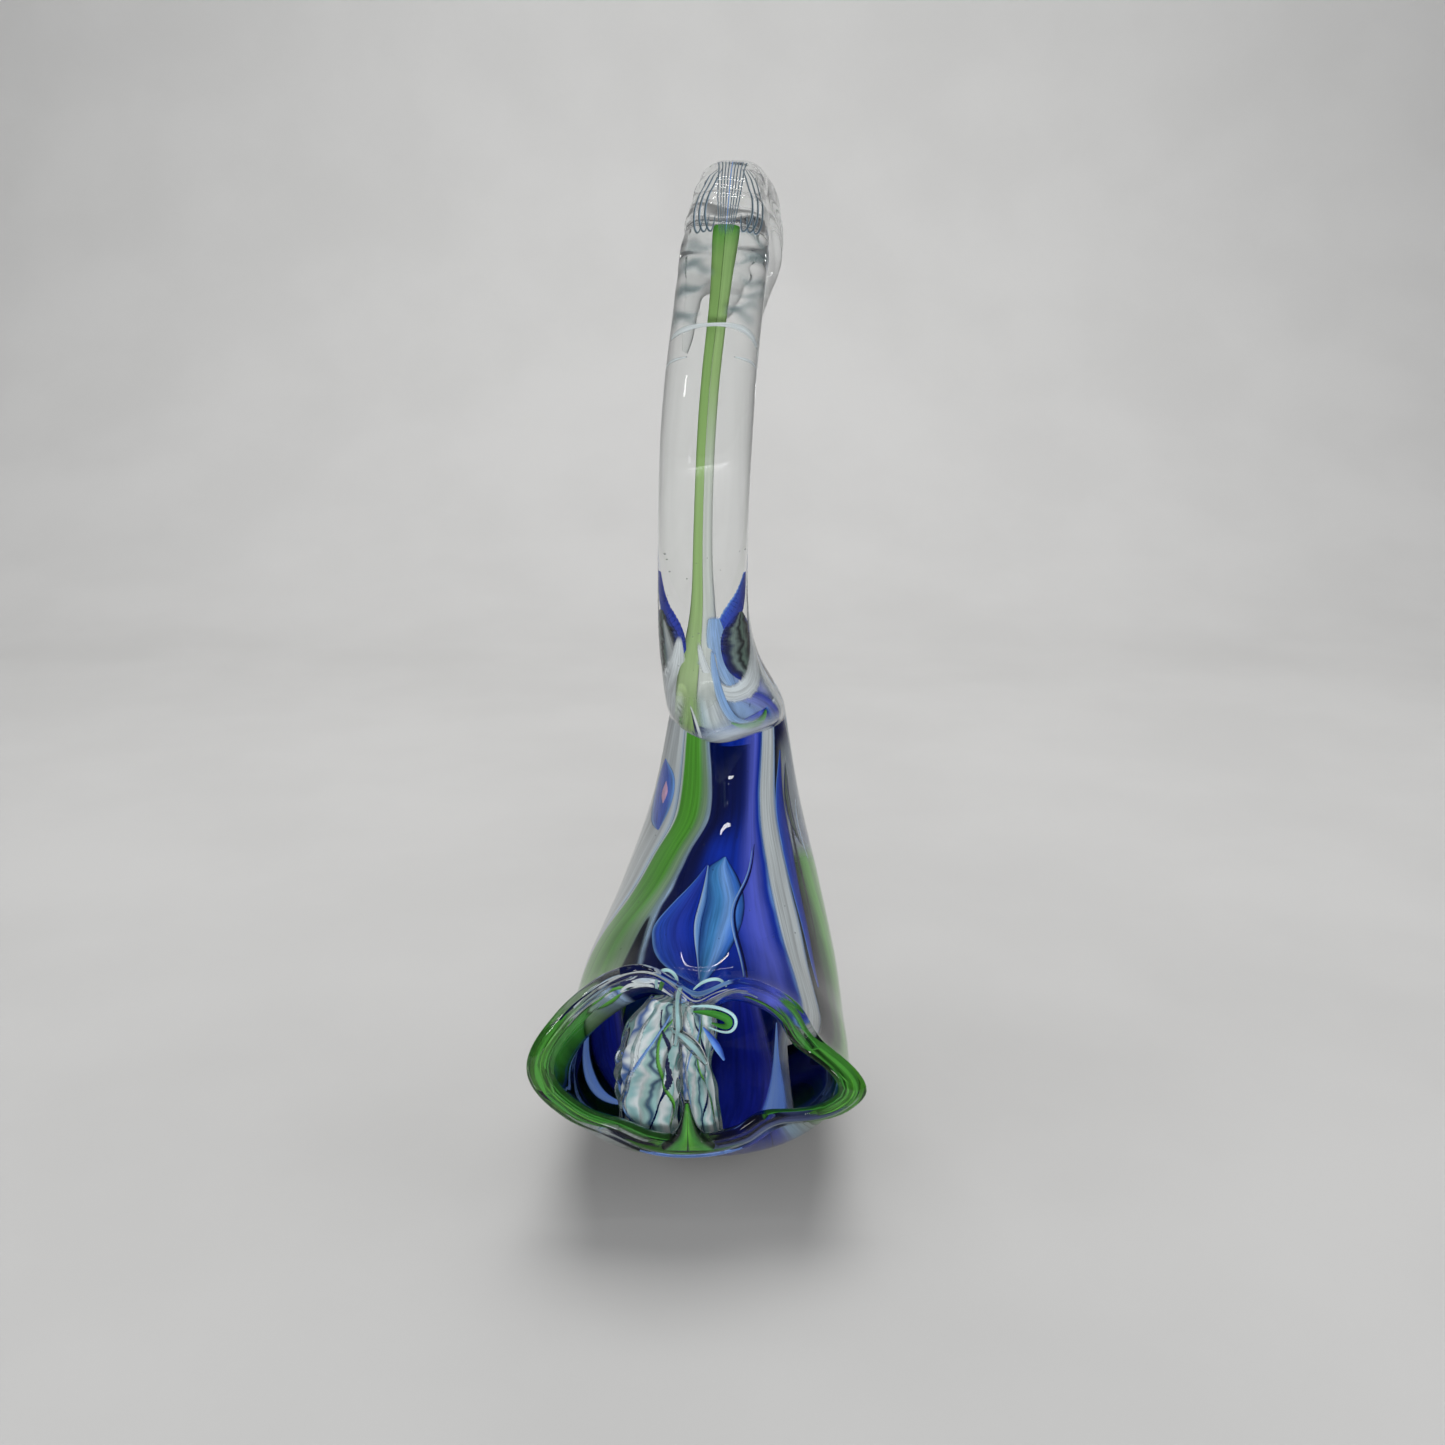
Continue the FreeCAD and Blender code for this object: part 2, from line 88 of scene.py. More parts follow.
PAST_RIM = 10.0             # fan degrees past the rim that reach the end of the lip
# The two-colour thread. It starts nearer the back of the neck than the design's, and is
# wider in places. Columns as for NECK.
THREAD = [(-7, 17.5, 111, 12, 6.2, 2.6, 2.6), (-6.8, 17.2, 119, 13, 5.6, 2.6, 2.6),
          (-6.2, 18.2, 127, 14, 4.7, 2.5, 2.5), (-5.5, 19.5, 136, 14, 3.7, 2.3, 2.3),
          (-5.2, 20.4, 146, 13, 2.9, 2, 2), (-5.2, 20, 157, 12, 2.5, 1.8, 1.8),
          (-4.6, 17.5, 178, 5, 2.3, 1.7, 1.7), (-3.1, 18, 200, -5, 2.3, 1.7, 1.7),
          (-0.9, 21.5, 219, -18, 2.4, 1.7, 1.7), (0.4, 25.5, 231, -36, 3, 2.4, 2.4),
          (1.0, 28, 236, -42, 3.2, 2.6, 2.6)]


# ---- Numbers

def smooth(table, at):
    """Values on the smooth curve through a table of (place, value) pairs."""
    places, values = np.array(sorted(table), float).T
    at = np.clip(np.asarray(at, float), places[0], places[-1])
    left = np.clip(np.searchsorted(places, at, side="right") - 1, 0, len(places) - 2)
    slopes = np.diff(values) / np.diff(places)
    knots = np.concatenate([slopes[:1], (slopes[:-1] + slopes[1:]) / 2, slopes[-1:]])
    span = places[left + 1] - places[left]
    t = (at - places[left]) / span
    return (values[left] * (1 + 2 * t) * (1 - t) ** 2 + knots[left] * span * t * (1 - t) ** 2
            + values[left + 1] * t * t * (3 - 2 * t) - knots[left + 1] * span * t * t * (1 - t))


def ease(t):
    t = np.clip(t, 0.0, 1.0)
    return t * t * (3 - 2 * t)


def soft_max(value, floor):
    """The larger of the two, with the bend between them rounded off."""
    rounding = 1.0
    above = value - floor
    return floor + (above + np.hypot(above, rounding)) / 2


def half_turn(degrees):
    """The same angle, from -180 to 180."""
    return (np.asarray(degrees, float) + 180) % 360 - 180


# ---- The body's shape

def rim_point(degrees, depth):
    turn = np.asarray(degrees, float) % 360
    table = [(a - 360, r, lean) for a, r, lean in RIM[-3:]] + RIM
    table += [(a + 360, r, lean) for a, r, lean in RIM[:3]]
    radius = smooth([(a, r) for a, r, _ in table], turn) - depth
    lean = smooth([(a, lean) for a, _, lean in table], turn)
    angle = np.radians(turn)
    return np.stack([RIM_X + RIM_SPREAD * radius * np.sin(angle), RIM_Y + lean,
                     RIM_Z + radius * np.cos(angle)], -1)


def body_point(degrees, fan_angle, depth, end=None, end_angle=NECK_ANGLE):
    """Places on the body: degrees round from the middle of the back, the fan angle from
    the neck (8) to the rim (-90), and depth mm inside the outer face."""
    degrees, fan_angle, depth = np.broadcast_arrays(
        np.asarray(degrees, float), np.asarray(fan_angle, float), np.asarray(depth, float))
    angle = np.radians(degrees)
    back, belly = smooth(BACK, fan_angle), smooth(BELLY, fan_angle)
    width = smooth(HALF_WIDTH, fan_angle) - depth
    half = (belly - back) / 2 - depth
    distance = (belly + back) / 2 - half * np.cos(angle)
    sideways = width * np.sin(angle) * (1 - EGG * np.cos(angle)) / (1 + EGG * EGG / 2)
    creased = ease((CREASE_START_ANGLE - fan_angle) / (CREASE_START_ANGLE - RIM_ANGLE))
    off_crease = half_turn(degrees) / CREASE_HALF_DEG
    distance = distance + CREASE_DEPTH * creased * np.exp(-off_crease ** 2)
    if end:
        narrowed = ease((fan_angle - NARROW_ANGLE) / (end_angle - NARROW_ANGLE))
        core = (belly + back) / 2 - end[1] * np.cos(angle)
        distance = distance + (core - distance) * narrowed
        sideways = sideways + (end[0] * np.sin(angle) - sideways) * narrowed
    fan = np.radians(fan_angle)
    z = FAN_Z + distance * np.sin(fan)
    z = np.where(depth < 0.01, np.maximum(soft_max(z, -BASE_SINK), 0),
                 soft_max(z, FLOOR_GLASS + depth - CASING))
    point = np.stack([smooth(MIDDLE_X, fan_angle) + sideways,
                      FAN_Y + distance * np.cos(fan), z], -1)
    flare = ease((FLARE_ANGLE - fan_angle) / (FLARE_ANGLE - RIM_ANGLE))[..., None]
    return point + (rim_point(degrees, depth) - point) * flare


def wall_point(degrees, fan_angle, depth):
    """Places in the wall, depth mm in all the way. Fan angles past the rim carry on into
    the lip."""
    point = body_point(degrees, fan_angle, depth)
    past_rim = np.clip((RIM_ANGLE - np.asarray(fan_angle, float)) / PAST_RIM, 0, 1)
    point[..., 1] -= LIP_REACH * past_rim
    return point


def rod_rings(stations, around, along, heels=(), first=None):
    """Rings of a rod through its stations, smooth between them. first is a ring of its own
    that the rod starts from."""
    angle = np.linspace(0, 2 * math.pi, around, endpoint=False)
    rows = [] if first is None else [first]
    for k, (x, y, z, tilt, half_width, outer, inner) in enumerate(stations):
        heel = heels[k] if k < len(heels) else 0
        squared = 1 + FLATNESS * np.sin(2 * angle) ** 2
        depth = np.where(np.cos(angle) > 0, outer, inner)
        off_heel = half_turn(np.degrees(angle) - HEEL_DEG) / HEEL_HALF_DEG
        swell = heel * np.exp(-off_heel ** 2)
        out = depth * squared * np.cos(angle) + swell
        into = np.array([0, math.cos(math.radians(tilt)), math.sin(math.radians(tilt))])
        ring = np.array([x, y, z]) - out[:, None] * into
        ring[:, 0] += half_width * squared * np.sin(angle)
        ring[:, 2] -= HEEL_DROOP * swell
        rows.append(ring)
    return spline_rows(np.array(rows), along)


def spline_rows(rows, along):
    """More rows, on the natural cubic splines through the given ones."""
    count = len(rows)
    system = np.zeros((count, count))
    right = np.zeros(rows.shape)
    system[0, 0] = system[-1, -1] = 1
    for k in range(1, count - 1):
        system[k, k - 1:k + 2] = [1, 4, 1]
        right[k] = 6 * (rows[k - 1] - 2 * rows[k] + rows[k + 1])
    bend = np.linalg.solve(system, right.reshape(count, -1)).reshape(rows.shape)
    at = np.linspace(0, count - 1, along)
    k = np.clip(at.astype(int), 0, count - 2)
    t = (at - k)[:, None, None]
    return (rows[k] * (1 - t) + rows[k + 1] * t
            + bend[k] * ((1 - t) ** 3 - (1 - t)) / 6 + bend[k + 1] * (t ** 3 - t) / 6)


# ---- Meshes

def quads(rows, columns, closed, start=0):
    """Faces of a grid of points, numbered row by row."""
    faces = []
    for r in range(rows - 1):
        for c in range(columns if closed else columns - 1):
            a = start + r * columns + c
            b = start + r * columns + (c + 1) % columns
            faces.append((a, b, b + columns, a + columns))
    return faces


def put(name, data):
    """A new object in the scene."""
    made = bpy.data.objects.new(name, data)
    bpy.context.scene.collection.objects.link(made)
    return made


def make_piece(name, points, faces, material, nodes, uv=None, flat=(), flat_material=None):
    """A piece of the vase from points in mm. flat faces keep sharp edges."""
    mesh = bpy.data.meshes.new(name)
    mesh.from_pydata((np.asarray(points) * MM).tolist(), [], list(faces) + list(flat))
    mesh.materials.append(material)
    if flat_material:
        mesh.materials.append(flat_material)
    for polygon in mesh.polygons[:len(faces)]:
        polygon.use_smooth = True
    for polygon in mesh.polygons[len(faces):]:
        polygon.material_index = 1 if flat_material else 0
    if uv is not None:
        layer = mesh.uv_layers.new(name="UVMap")
        vertex = np.zeros(len(mesh.loops), int)
        mesh.loops.foreach_get("vertex_index", vertex)
        layer.data.foreach_set("uv", np.asarray(uv, float)[vertex].ravel())
    if flat:
        sharp = {tuple(sorted(edge)) for face in flat for edge in zip(face, face[1:] + face[:1])}
        attribute = mesh.attributes.new("sharp_edge", "BOOLEAN", "EDGE")
        for edge in mesh.edges:
            attribute.data[edge.index].value = tuple(sorted(edge.vertices)) in sharp
    edit = bmesh.new()
    edit.from_mesh(mesh)
    bmesh.ops.recalc_face_normals(edit, faces=edit.faces)
    if edit.calc_volume(signed=True) < 0:
        bmesh.ops.reverse_faces(edit, faces=edit.faces)
    edit.to_mesh(mesh)
    edit.free()
    piece = put(name, mesh)
    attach(piece, "root")
    if nodes:
        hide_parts(*nodes)
    return piece


def tube_piece(name, rings, material, nodes, cap_material=None):
    """Closed piece from a stack of rings, with flat ends."""
    rows, columns = rings.shape[:2]
    ends = [tuple(range(columns)), tuple(range((rows - 1) * columns, rows * columns))]
    across, along = np.meshgrid(np.arange(columns) / columns, np.arange(rows) / (rows - 1))
    return make_piece(name, rings.reshape(-1, 3), quads(rows, columns, True), material, nodes,
                      uv=np.stack([across.ravel(), along.ravel()], -1),
                      flat=ends, flat_material=cap_material)


# ---- Materials

def add(tree, kind, values=(), **settings):
    """A shader node. values gives inputs, by name or number, as a value to set or as the
    socket to link."""
    node = tree.nodes.new("ShaderNode" + kind)
    for name, value in settings.items():
        setattr(node, name, value)
    for name, value in dict(values).items():
        if isinstance(value, bpy.types.NodeSocket):
            tree.links.new(value, node.inputs[name])
        else:
            node.inputs[name].default_value = value
    return node


def new_material(name):
    material = bpy.data.materials.new(name)
    material.use_nodes = True
    material.node_tree.nodes.clear()
    return material, material.node_tree


def noise(tree, coordinate, scale, detail, stretch=(1, 1, 1)):
    mapping = add(tree, "Mapping", {"Scale": stretch, "Vector": coordinate})
    return add(tree, "TexNoise", {"Scale": scale, "Detail": detail,
                                  "Vector": mapping.outputs["Vector"]}).outputs["Fac"]


def arithmetic(tree, operation, first, second):
    return add(tree, "Math", {0: first, 1: second}, operation=operation).outputs["Value"]


def ramp(tree, factor, stops):
    """Smooth ramp through (place, colour) stops. Colours with no alpha are solid."""
    node = add(tree, "ValToRGB", {"Fac": factor})
    node.color_ramp.interpolation = "EASE"
    elements = node.color_ramp.elements
    while len(elements) < len(stops):
        elements.new(0.5)
    for element, (place, colour) in zip(elements, stops):
        element.position = place
        element.color = colour if len(colour) == 4 else (*colour, 1)
    return node


SHADOW_CLARITY = 0.9        # share of a lamp's light that a face of clear glass lets by


def clear_glass(name, tint, waviness=0.15, ior=1.5):
    """Clear blown glass with slow ripples. Lamps shine through it, so that the colours
    inside it are lit."""
    material, tree = new_material(name)
    place = add(tree, "TexCoord").outputs["Object"]
    ripples = add(tree, "Bump", {"Strength": waviness, "Distance": 0.001,
                                 "Height": noise(tree, place, scale=60, detail=1.0)})
    glass = add(tree, "BsdfPrincipled", {
        "Base Color": (*tint, 1), "Roughness": 0.0, "IOR": ior, "Transmission Weight": 1.0,
        "Normal": ripples.outputs["Normal"]})
    through = add(tree, "BsdfTransparent", {"Color": (*[SHADOW_CLARITY * t for t in tint], 1)})
    mix = add(tree, "MixShader", {
        "Fac": add(tree, "LightPath").outputs["Is Shadow Ray"],
        1: glass.outputs["BSDF"], 2: through.outputs["BSDF"]})
    add(tree, "OutputMaterial", {"Surface": mix.outputs["Shader"]})
    return material


def joint_material():
    """Where two clear pieces are fused nothing shows."""
    material, tree = new_material("fused_joint")
    add(tree, "OutputMaterial", {"Surface": add(tree, "BsdfTransparent").outputs["BSDF"]})
    return material


BEHIND_SHARE = 0.25         # share of a coloured layer's light that comes from behind it


def layered_glass(name, across, along=((0, 1), (1, 1)), wander=0.06, streaks=6.0,
                  streakiness=0.35, soft=0.03, way="X", glow=0.0):
    """A coloured layer inside clear glass. across gives colour and opacity from one edge
    of the piece to the other (or from end to end, if way is Y), and along its opacity from
    end to end. The colours wander, and are streaked along the piece. Some light comes
    through from behind. glow is painted light: the layer also glows, with an emission of
    its own colour that stands for the light that thick glass gathers and carries into the
    piece, which shadow rays through the clear glass leave out."""
    material, tree = new_material(name)
    uv = add(tree, "TexCoord").outputs["UV"]
    split = add(tree, "SeparateXYZ", {"Vector": uv})
    drift = noise(tree, uv, scale=2.0, detail=2.0,
                  stretch=(0.4, 2.5, 1) if way == "X" else (2.5, 0.4, 1))
    drift = arithmetic(tree, "MULTIPLY", arithmetic(tree, "SUBTRACT", drift, 0.5), 2 * wander)
    colours = ramp(tree, arithmetic(tree, "ADD", split.outputs[way], drift), across)
    edges = ramp(tree, split.outputs["X"], [(0, (0, 0, 0)), (soft, (1, 1, 1)),
                                            (1 - soft, (1, 1, 1)), (1, (0, 0, 0))])
    ends = ramp(tree, split.outputs["Y"], [(at, (v, v, v)) for at, v in along])
    alpha = arithmetic(tree, "MULTIPLY", colours.outputs["Alpha"], edges.outputs["Color"])
    alpha = arithmetic(tree, "MULTIPLY", alpha, ends.outputs["Color"])
    streak = noise(tree, uv, scale=streaks, detail=4.0, stretch=(2.2, 0.5, 1))
    shade = ramp(tree, streak, [(0.3, (1 - streakiness,) * 3), (0.7, (1, 1, 1))])
    tone = add(tree, "Mix", {"Factor": 1.0, "A": colours.outputs["Color"],
                             "B": shade.outputs["Color"]},
               data_type="RGBA", blend_type="MULTIPLY").outputs["Result"]
    front, behind = (add(tree, kind, {"Color": tone}).outputs["BSDF"]
                     for kind in ("BsdfDiffuse", "BsdfTranslucent"))
    shown = add(tree, "MixShader", {"Fac": BEHIND_SHARE, 1: front, 2: behind}).outputs["Shader"]
    # Painted glow: an emission of the layer's own colour
    if glow:
        painted_glow = add(tree, "Emission", {"Strength": glow, "Color": tone})
        shown = add(tree, "AddShader", {0: shown, 1: painted_glow.outputs["Emission"]})
        shown = shown.outputs["Shader"]
    mix = add(tree, "MixShader", {
        "Fac": alpha, 1: add(tree, "BsdfTransparent").outputs["BSDF"], 2: shown})
    add(tree, "OutputMaterial", {"Surface": mix.outputs["Shader"]})
    return material


NAVY, COBALT, VIOLET = (0.001, 0.006, 0.075), (0.004, 0.028, 0.36), (0.1, 0.13, 0.62)
SKY, ICE, MILK = (0.2, 0.42, 0.85), (0.5, 0.68, 0.9), (0.85, 0.9, 0.92)
LEAF_GREEN, MOSS, BLACK = (0.13, 0.5, 0.05), (0.03, 0.13, 0.025), (0.002, 0.008, 0.012)
LOBE_GREEN = (0.06, 0.3, 0.045)
SAGE, PINK = (0.3, 0.48, 0.28), (0.85, 0.5, 0.75)
FADE_AT_LIP = ((0, 1), (0.9, 1), (0.97, 0.15), (1, 0))
SOFT_ENDS = ((0, 0), (0.08, 1), (0.92, 1), (1, 0))
THREAD_ENDS = ((0, 0), (0.04, 0.1), (0.17, 1), (1, 1))

# Layers given glow below also carry a painted glow, an emission of their own colour.
CLEAR = clear_glass("clear_glass", (0.975, 0.99, 0.985))
BUBBLE = clear_glass("bubble_air", (1, 1, 1), 0.0, ior=1 / 1.5)
JOINT = joint_material()
# The violet towards this band's right edge is a painted reflection: a soft pale haze on the blue.
BLUE_BACK = layered_glass("cobalt_blue_glass", [(0, ICE), (0.05, NAVY), (0.16, NAVY),
    (0.36, COBALT), (0.6, COBALT), (0.84, VIOLET), (0.94, COBALT), (1, SKY)], glow=0.2)
BLUE_CHEST = layered_glass("cobalt_blue_chest", [(0, COBALT), (0.3, COBALT), (0.6, NAVY),
    (1, COBALT)], ((0, 0.2), (0.05, 0.6), (0.12, 1), (0.9, 1), (0.97, 0.15), (1, 0)))
GREEN_LEFT_SIDE = layered_glass("green_glass", [(0, MILK), (0.06, MILK), (0.13, LEAF_GREEN),
    (0.58, LEAF_GREEN), (0.8, SAGE), (0.93, (0.3, 0.42, 0.5)), (1, ICE)])
GREEN_RIGHT_SIDE = layered_glass("green_right_glass", [(0, BLACK), (0.12, BLACK), (0.22, MOSS),
    (0.34, LEAF_GREEN), (0.85, LEAF_GREEN), (1, MOSS)], ((0, 0), (0.08, 1), (1, 1)), glow=0.1)
GREEN_CHEST = layered_glass("green_chest_glass", [(0, LEAF_GREEN), (1, MOSS)], FADE_AT_LIP)
WHITE = layered_glass("white_glass", [(0, SKY), (0.2, (*MILK, 0.95)), (0.75, (*MILK, 0.95)),
    (1, SKY)], ((0, 1), (0.68, 1), (0.86, 0.35), (0.92, 0), (1, 0)), soft=0.1)
WHITE_SIDE = layered_glass("white_side_glass", [(0, (*MILK, 0.3)), (0.5, (*MILK, 0.55)),
    (0.9, (*MILK, 0.75)), (1, (*ICE, 0.9))], FADE_AT_LIP)
WHITE_TO_BLUE = layered_glass("white_to_blue_glass", [(0, (*MILK, 0.3)), (0.45, (*ICE, 0.5)),
    (0.8, (*VIOLET, 0.8)), (1, COBALT)], FADE_AT_LIP, soft=0.01)
VEIL = layered_glass("veil_glass", [(0, (*MILK, 0.5)), (1, (*ICE, 0.5))],
    ((0, 0), (0.2, 0.6), (0.75, 0.6), (1, 0)), soft=0.3)
DEEP_SHADE = layered_glass("deep_shade_glass", [(0, (*NAVY, 0.8)), (1, (*NAVY, 0.5))],
    ((0, 0.9), (0.4, 0.7), (1, 0)), soft=0.3)
SPOT_BLUE = layered_glass("spot_blue_glass", [(0, SKY), (0.3, (0.05, 0.14, 0.7)),
    (0.7, (0.05, 0.14, 0.7)), (1, SKY)])
PINK_GLASS = layered_glass("pink_glass", [(0, PINK), (1, PINK)])
LEAF_BLUE = layered_glass("leaf_blue_glass", [(0, SKY), (0.12, (0.03, 0.1, 0.62)),
    (0.6, (0.02, 0.05, 0.45)), (1, COBALT)], glow=0.08)
PALE_LEAF = layered_glass("pale_leaf_glass", [(0, ICE), (0.5, SKY), (1, (0.03, 0.12, 0.4))])
TEAL = layered_glass("teal_blue_glass", [(0, (0.02, 0.09, 0.35)), (0.35, (0.06, 0.26, 0.6)),
    (0.6, (*SKY, 0.95)), (0.85, (0.05, 0.2, 0.7)), (1, NAVY)], glow=0.06)
ICE_LINE = layered_glass("ice_line_glass", [(0, ICE), (1, MILK)])
DARK_LINE = layered_glass("dark_line_glass", [(0, NAVY), (1, NAVY)])
SKY_RIBBON = layered_glass("sky_ribbon_glass", [(0, ICE), (0.5, SKY), (1, (0.1, 0.2, 0.7))],
    SOFT_ENDS, soft=0.2)
DARK_RIBBON = layered_glass("dark_ribbon_glass", [(0, (*NAVY, 0.8)), (0.5, (*BLACK, 0.9)),
    (1, (*NAVY, 0.8))], SOFT_ENDS, soft=0.3)
VIOLET_RIBBON = layered_glass("violet_ribbon_glass", [(0, (*ICE, 0.6)),
    (0.4, (0.3, 0.36, 0.8, 0.9)), (0.8, (*VIOLET, 0.9)), (1, (*SKY, 0.6))], SOFT_ENDS, soft=0.3)
MILK_RIBBON = layered_glass("milk_ribbon_glass", [(0, (*MILK, 0.6)), (0.4, MILK),
    (1, (*MILK, 0.8))], SOFT_ENDS, soft=0.22)
HAZE_RIBBON = layered_glass("haze_ribbon_glass", [(0, (*MILK, 0.25)), (0.5, (*MILK, 0.6)),
    (1, (*ICE, 0.3))], SOFT_ENDS, soft=0.35)
GREEN_RIBBON = layered_glass("green_ribbon_glass", [(0, SAGE), (0.4, LEAF_GREEN), (1, MOSS)],
    SOFT_ENDS, soft=0.15)
MARBLED = layered_glass("marbled_glass", [(0, (0.02, 0.05, 0.3)), (0.2, BLACK),
    (0.4, (0.12, 0.2, 0.16)), (0.5, BLACK), (0.65, (0.2, 0.28, 0.26)), (0.8, NAVY), (1, COBALT)],
    wander=0.35, streaks=9)
# Green at the lip, darkening to black deeper into the mouth: painted shade of the dark inside of
# the body.
LOBE_INTO_SHADE = layered_glass("lobe_painted_shade_glass", [(0, LOBE_GREEN), (0.42, LOBE_GREEN), (0.6, MOSS), (0.78, BLACK),
    (1, BLACK)], wander=0.04, way="Y")
LOBE_FILL = layered_glass("lobe_fill_glass", [(0, LOBE_GREEN), (1, (0.09, 0.38, 0.05))], wander=0.0,
    streakiness=0.2, soft=0.1)
POOL_BLUE = layered_glass("pool_blue_glass", [(0, (0.16, 0.18, 0.75)), (0.3, (0.03, 0.05, 0.7)),
    (0.7, (0.02, 0.04, 0.55)), (1, (0.01, 0.015, 0.25))], soft=0.15, glow=0.1)
CRESCENT = layered_glass("crescent_glass", [(0, (0.2, 0.38, 0.95)), (0.2, (0.28, 0.5, 1)),
    (0.7, (0.36, 0.58, 1)), (1, (0.2, 0.4, 0.95))], wander=0.03, streakiness=0.12, soft=0.2,
    glow=0.2)
HEEL_BASE = layered_glass("heel_base_glass", [(0, ICE), (0.14, MILK), (0.24, MILK),
    (0.3, (0.5, 0.65, 0.4)), (0.44, (0.45, 0.6, 0.42)), (0.5, (0.45, 0.55, 0.68)),
    (0.6, (0.34, 0.5, 0.78)), (0.74, (0.3, 0.35, 0.78)), (0.86, MILK), (1, ICE)],
    ((0, 0), (0.12, 1), (1, 1)), wander=0.1)
PALE_GREEN = layered_glass("pale_green_glass", [(0, (0.5, 0.66, 0.42, 0.6)),
    (0.5, (0.36, 0.58, 0.2, 0.9)), (1, (0.5, 0.66, 0.42, 0.5))], SOFT_ENDS, soft=0.35)
PALE_PATCH = layered_glass("pale_patch_glass", [(0, ICE), (0.4, (0.35, 0.55, 0.88)),
    (1, (0.3, 0.5, 0.85))], SOFT_ENDS, soft=0.12)
CROWN_GREY = layered_glass("crown_grey_glass", [(0, (*MILK, 0.5)), (0.3, (0.1, 0.15, 0.18, 0.8)),
    (0.6, (0.08, 0.13, 0.16, 0.8)), (1, (*ICE, 0.6))], SOFT_ENDS)
CROWN_AQUA = layered_glass("crown_aqua_glass", [(0, (0.3, 0.4, 0.42, 0.1)),
    (0.5, (0.24, 0.36, 0.38, 0.3)), (1, (*MILK, 0.2))], ((0, 0), (0.35, 1), (0.65, 1), (1, 0)),
    wander=0.12, streakiness=0.6, soft=0.5)
WHITE_THREAD = layered_glass("white_thread_glass", [(0, (0.68, 0.72, 0.68)),
    (0.55, (0.72, 0.75, 0.7)), (0.72, (0.4, 0.6, 0.24)), (0.88, (0.34, 0.56, 0.2)),
    (1, (0.1, 0.38, 0.05))], THREAD_ENDS, wander=0.02, streakiness=0.15, soft=0.001, way="Y")
GREEN_THREAD = layered_glass("green_thread_glass", [(0, (0.44, 0.58, 0.3)),
    (0.5, (0.36, 0.56, 0.2)), (0.85, (0.3, 0.52, 0.16)), (1, (0.1, 0.38, 0.05))], THREAD_ENDS,
    wander=0.02, streakiness=0.15, soft=0.001, way="Y")
CUSP_GREEN = layered_glass("cusp_green_glass", [(0, LEAF_GREEN), (0.1, LOBE_GREEN), (0.2, MOSS),
    (0.34, BLACK), (0.66, BLACK), (0.8, BLACK), (0.9, LOBE_GREEN), (1, LEAF_GREEN)], wander=0.04,
    soft=0.001)
ICE_STRAND = layered_glass("ice_strand_glass", [(0, (0.45, 0.66, 0.68)), (0.4, MILK),
    (0.7, (0.4, 0.66, 0.68)), (1, (0.45, 0.66, 0.68))], soft=0.001)
GREEN_STRAND = layered_glass("green_strand_glass", [(0, LOBE_GREEN), (0.5, MOSS), (1, LOBE_GREEN)],
    soft=0.001)
BLUE_STRAND = layered_glass("blue_strand_glass", [(0, COBALT), (0.5, SKY), (1, COBALT)], soft=0.001)
FROST = layered_glass("frosted_fold_glass", [(0, (*MILK, 0.6)), (0.24, (0.1, 0.3, 0.3, 0.8)),
    (0.3, (*MILK, 0.9)), (0.36, (0.34, 0.62, 0.62, 0.8)), (0.4, MILK),
    (0.45, (0.4, 0.68, 0.68, 0.85)), (0.48, (0.03, 0.1, 0.2, 0.8)), (0.51, (0.5, 0.78, 0.76, 0.9)),
    (0.55, MILK), (0.6, (0.36, 0.62, 0.64, 0.8)), (0.64, MILK), (0.69, (0.05, 0.14, 0.45, 0.8)),
    (0.73, (*MILK, 0.9)), (0.82, (0.3, 0.52, 0.52, 0.7)), (1, (*MILK, 0.6))], wander=0.16,
    streaks=4, streakiness=0.45, soft=0.001, glow=0.07)


# ---- Clear glass

AROUND = 240
DEGREES = np.linspace(0, 360, AROUND, endpoint=False)
WALL = CASING + COLOUR + LINER
LAYER = 2.0                 # how deep the coloured bands are drawn, in the clear casing
INSIDE = WALL - 0.6         # depth of the colours seen through the mouth
RISE_PER_DEGREE = 1.4       # mm up the neck for each fan degree past the body's end
NECK_ROWS = 200
RISING_ROWS = 170           # rings of the neck, from its foot, that still rise
NECK_RINGS = rod_rings(NECK, AROUND, NECK_ROWS, HEEL, body_point(DEGREES, NECK_ANGLE, 0.0))
NECK_MIDDLES = NECK_RINGS.mean(1)
CROWN_ROWS = 20             # rings to each section of the crown
CROWN = NECK[4:] + HEAD
CROWN_RINGS = rod_rings(CROWN, AROUND, CROWN_ROWS * (len(CROWN) - 1) + 1)


def rod_point(rings, degrees, row, depth):
    """Places in a rod, given as rings: degrees round from the back, a row that may lie
    between two rings, and depth mm inside the outer face."""
    column = (np.asarray(degrees, float) % 360) * AROUND / 360
    almost_last = len(rings) - 2.001
    row, column, depth = np.broadcast_arrays(np.clip(row, 0, almost_last), column, depth)
    r, c = row.astype(int), column.astype(int) % AROUND
    down, along = (row - r)[..., None], (column % AROUND - c)[..., None]
    after = (c + 1) % AROUND
    point = ((rings[r, c] * (1 - along) + rings[r, after] * along) * (1 - down)
             + (rings[r + 1, c] * (1 - along) + rings[r + 1, after] * along) * down)
    inward = rings.mean(1)[r] - point
    inward /= np.linalg.norm(inward, axis=-1, keepdims=True)
    return point + inward * depth[..., None]


def neck_point(degrees, height, depth):
    """Places in the neck, by the height of the section's middle."""
    row = np.interp(height, NECK_MIDDLES[:RISING_ROWS, 2], np.arange(RISING_ROWS))
    return rod_point(NECK_RINGS, degrees, row, depth)


def crown_point(degrees, section, depth):
    """Places in the crown, where the neck bends over into the head, by section."""
    return rod_point(CROWN_RINGS, degrees, np.asarray(section, float) * CROWN_ROWS, depth)


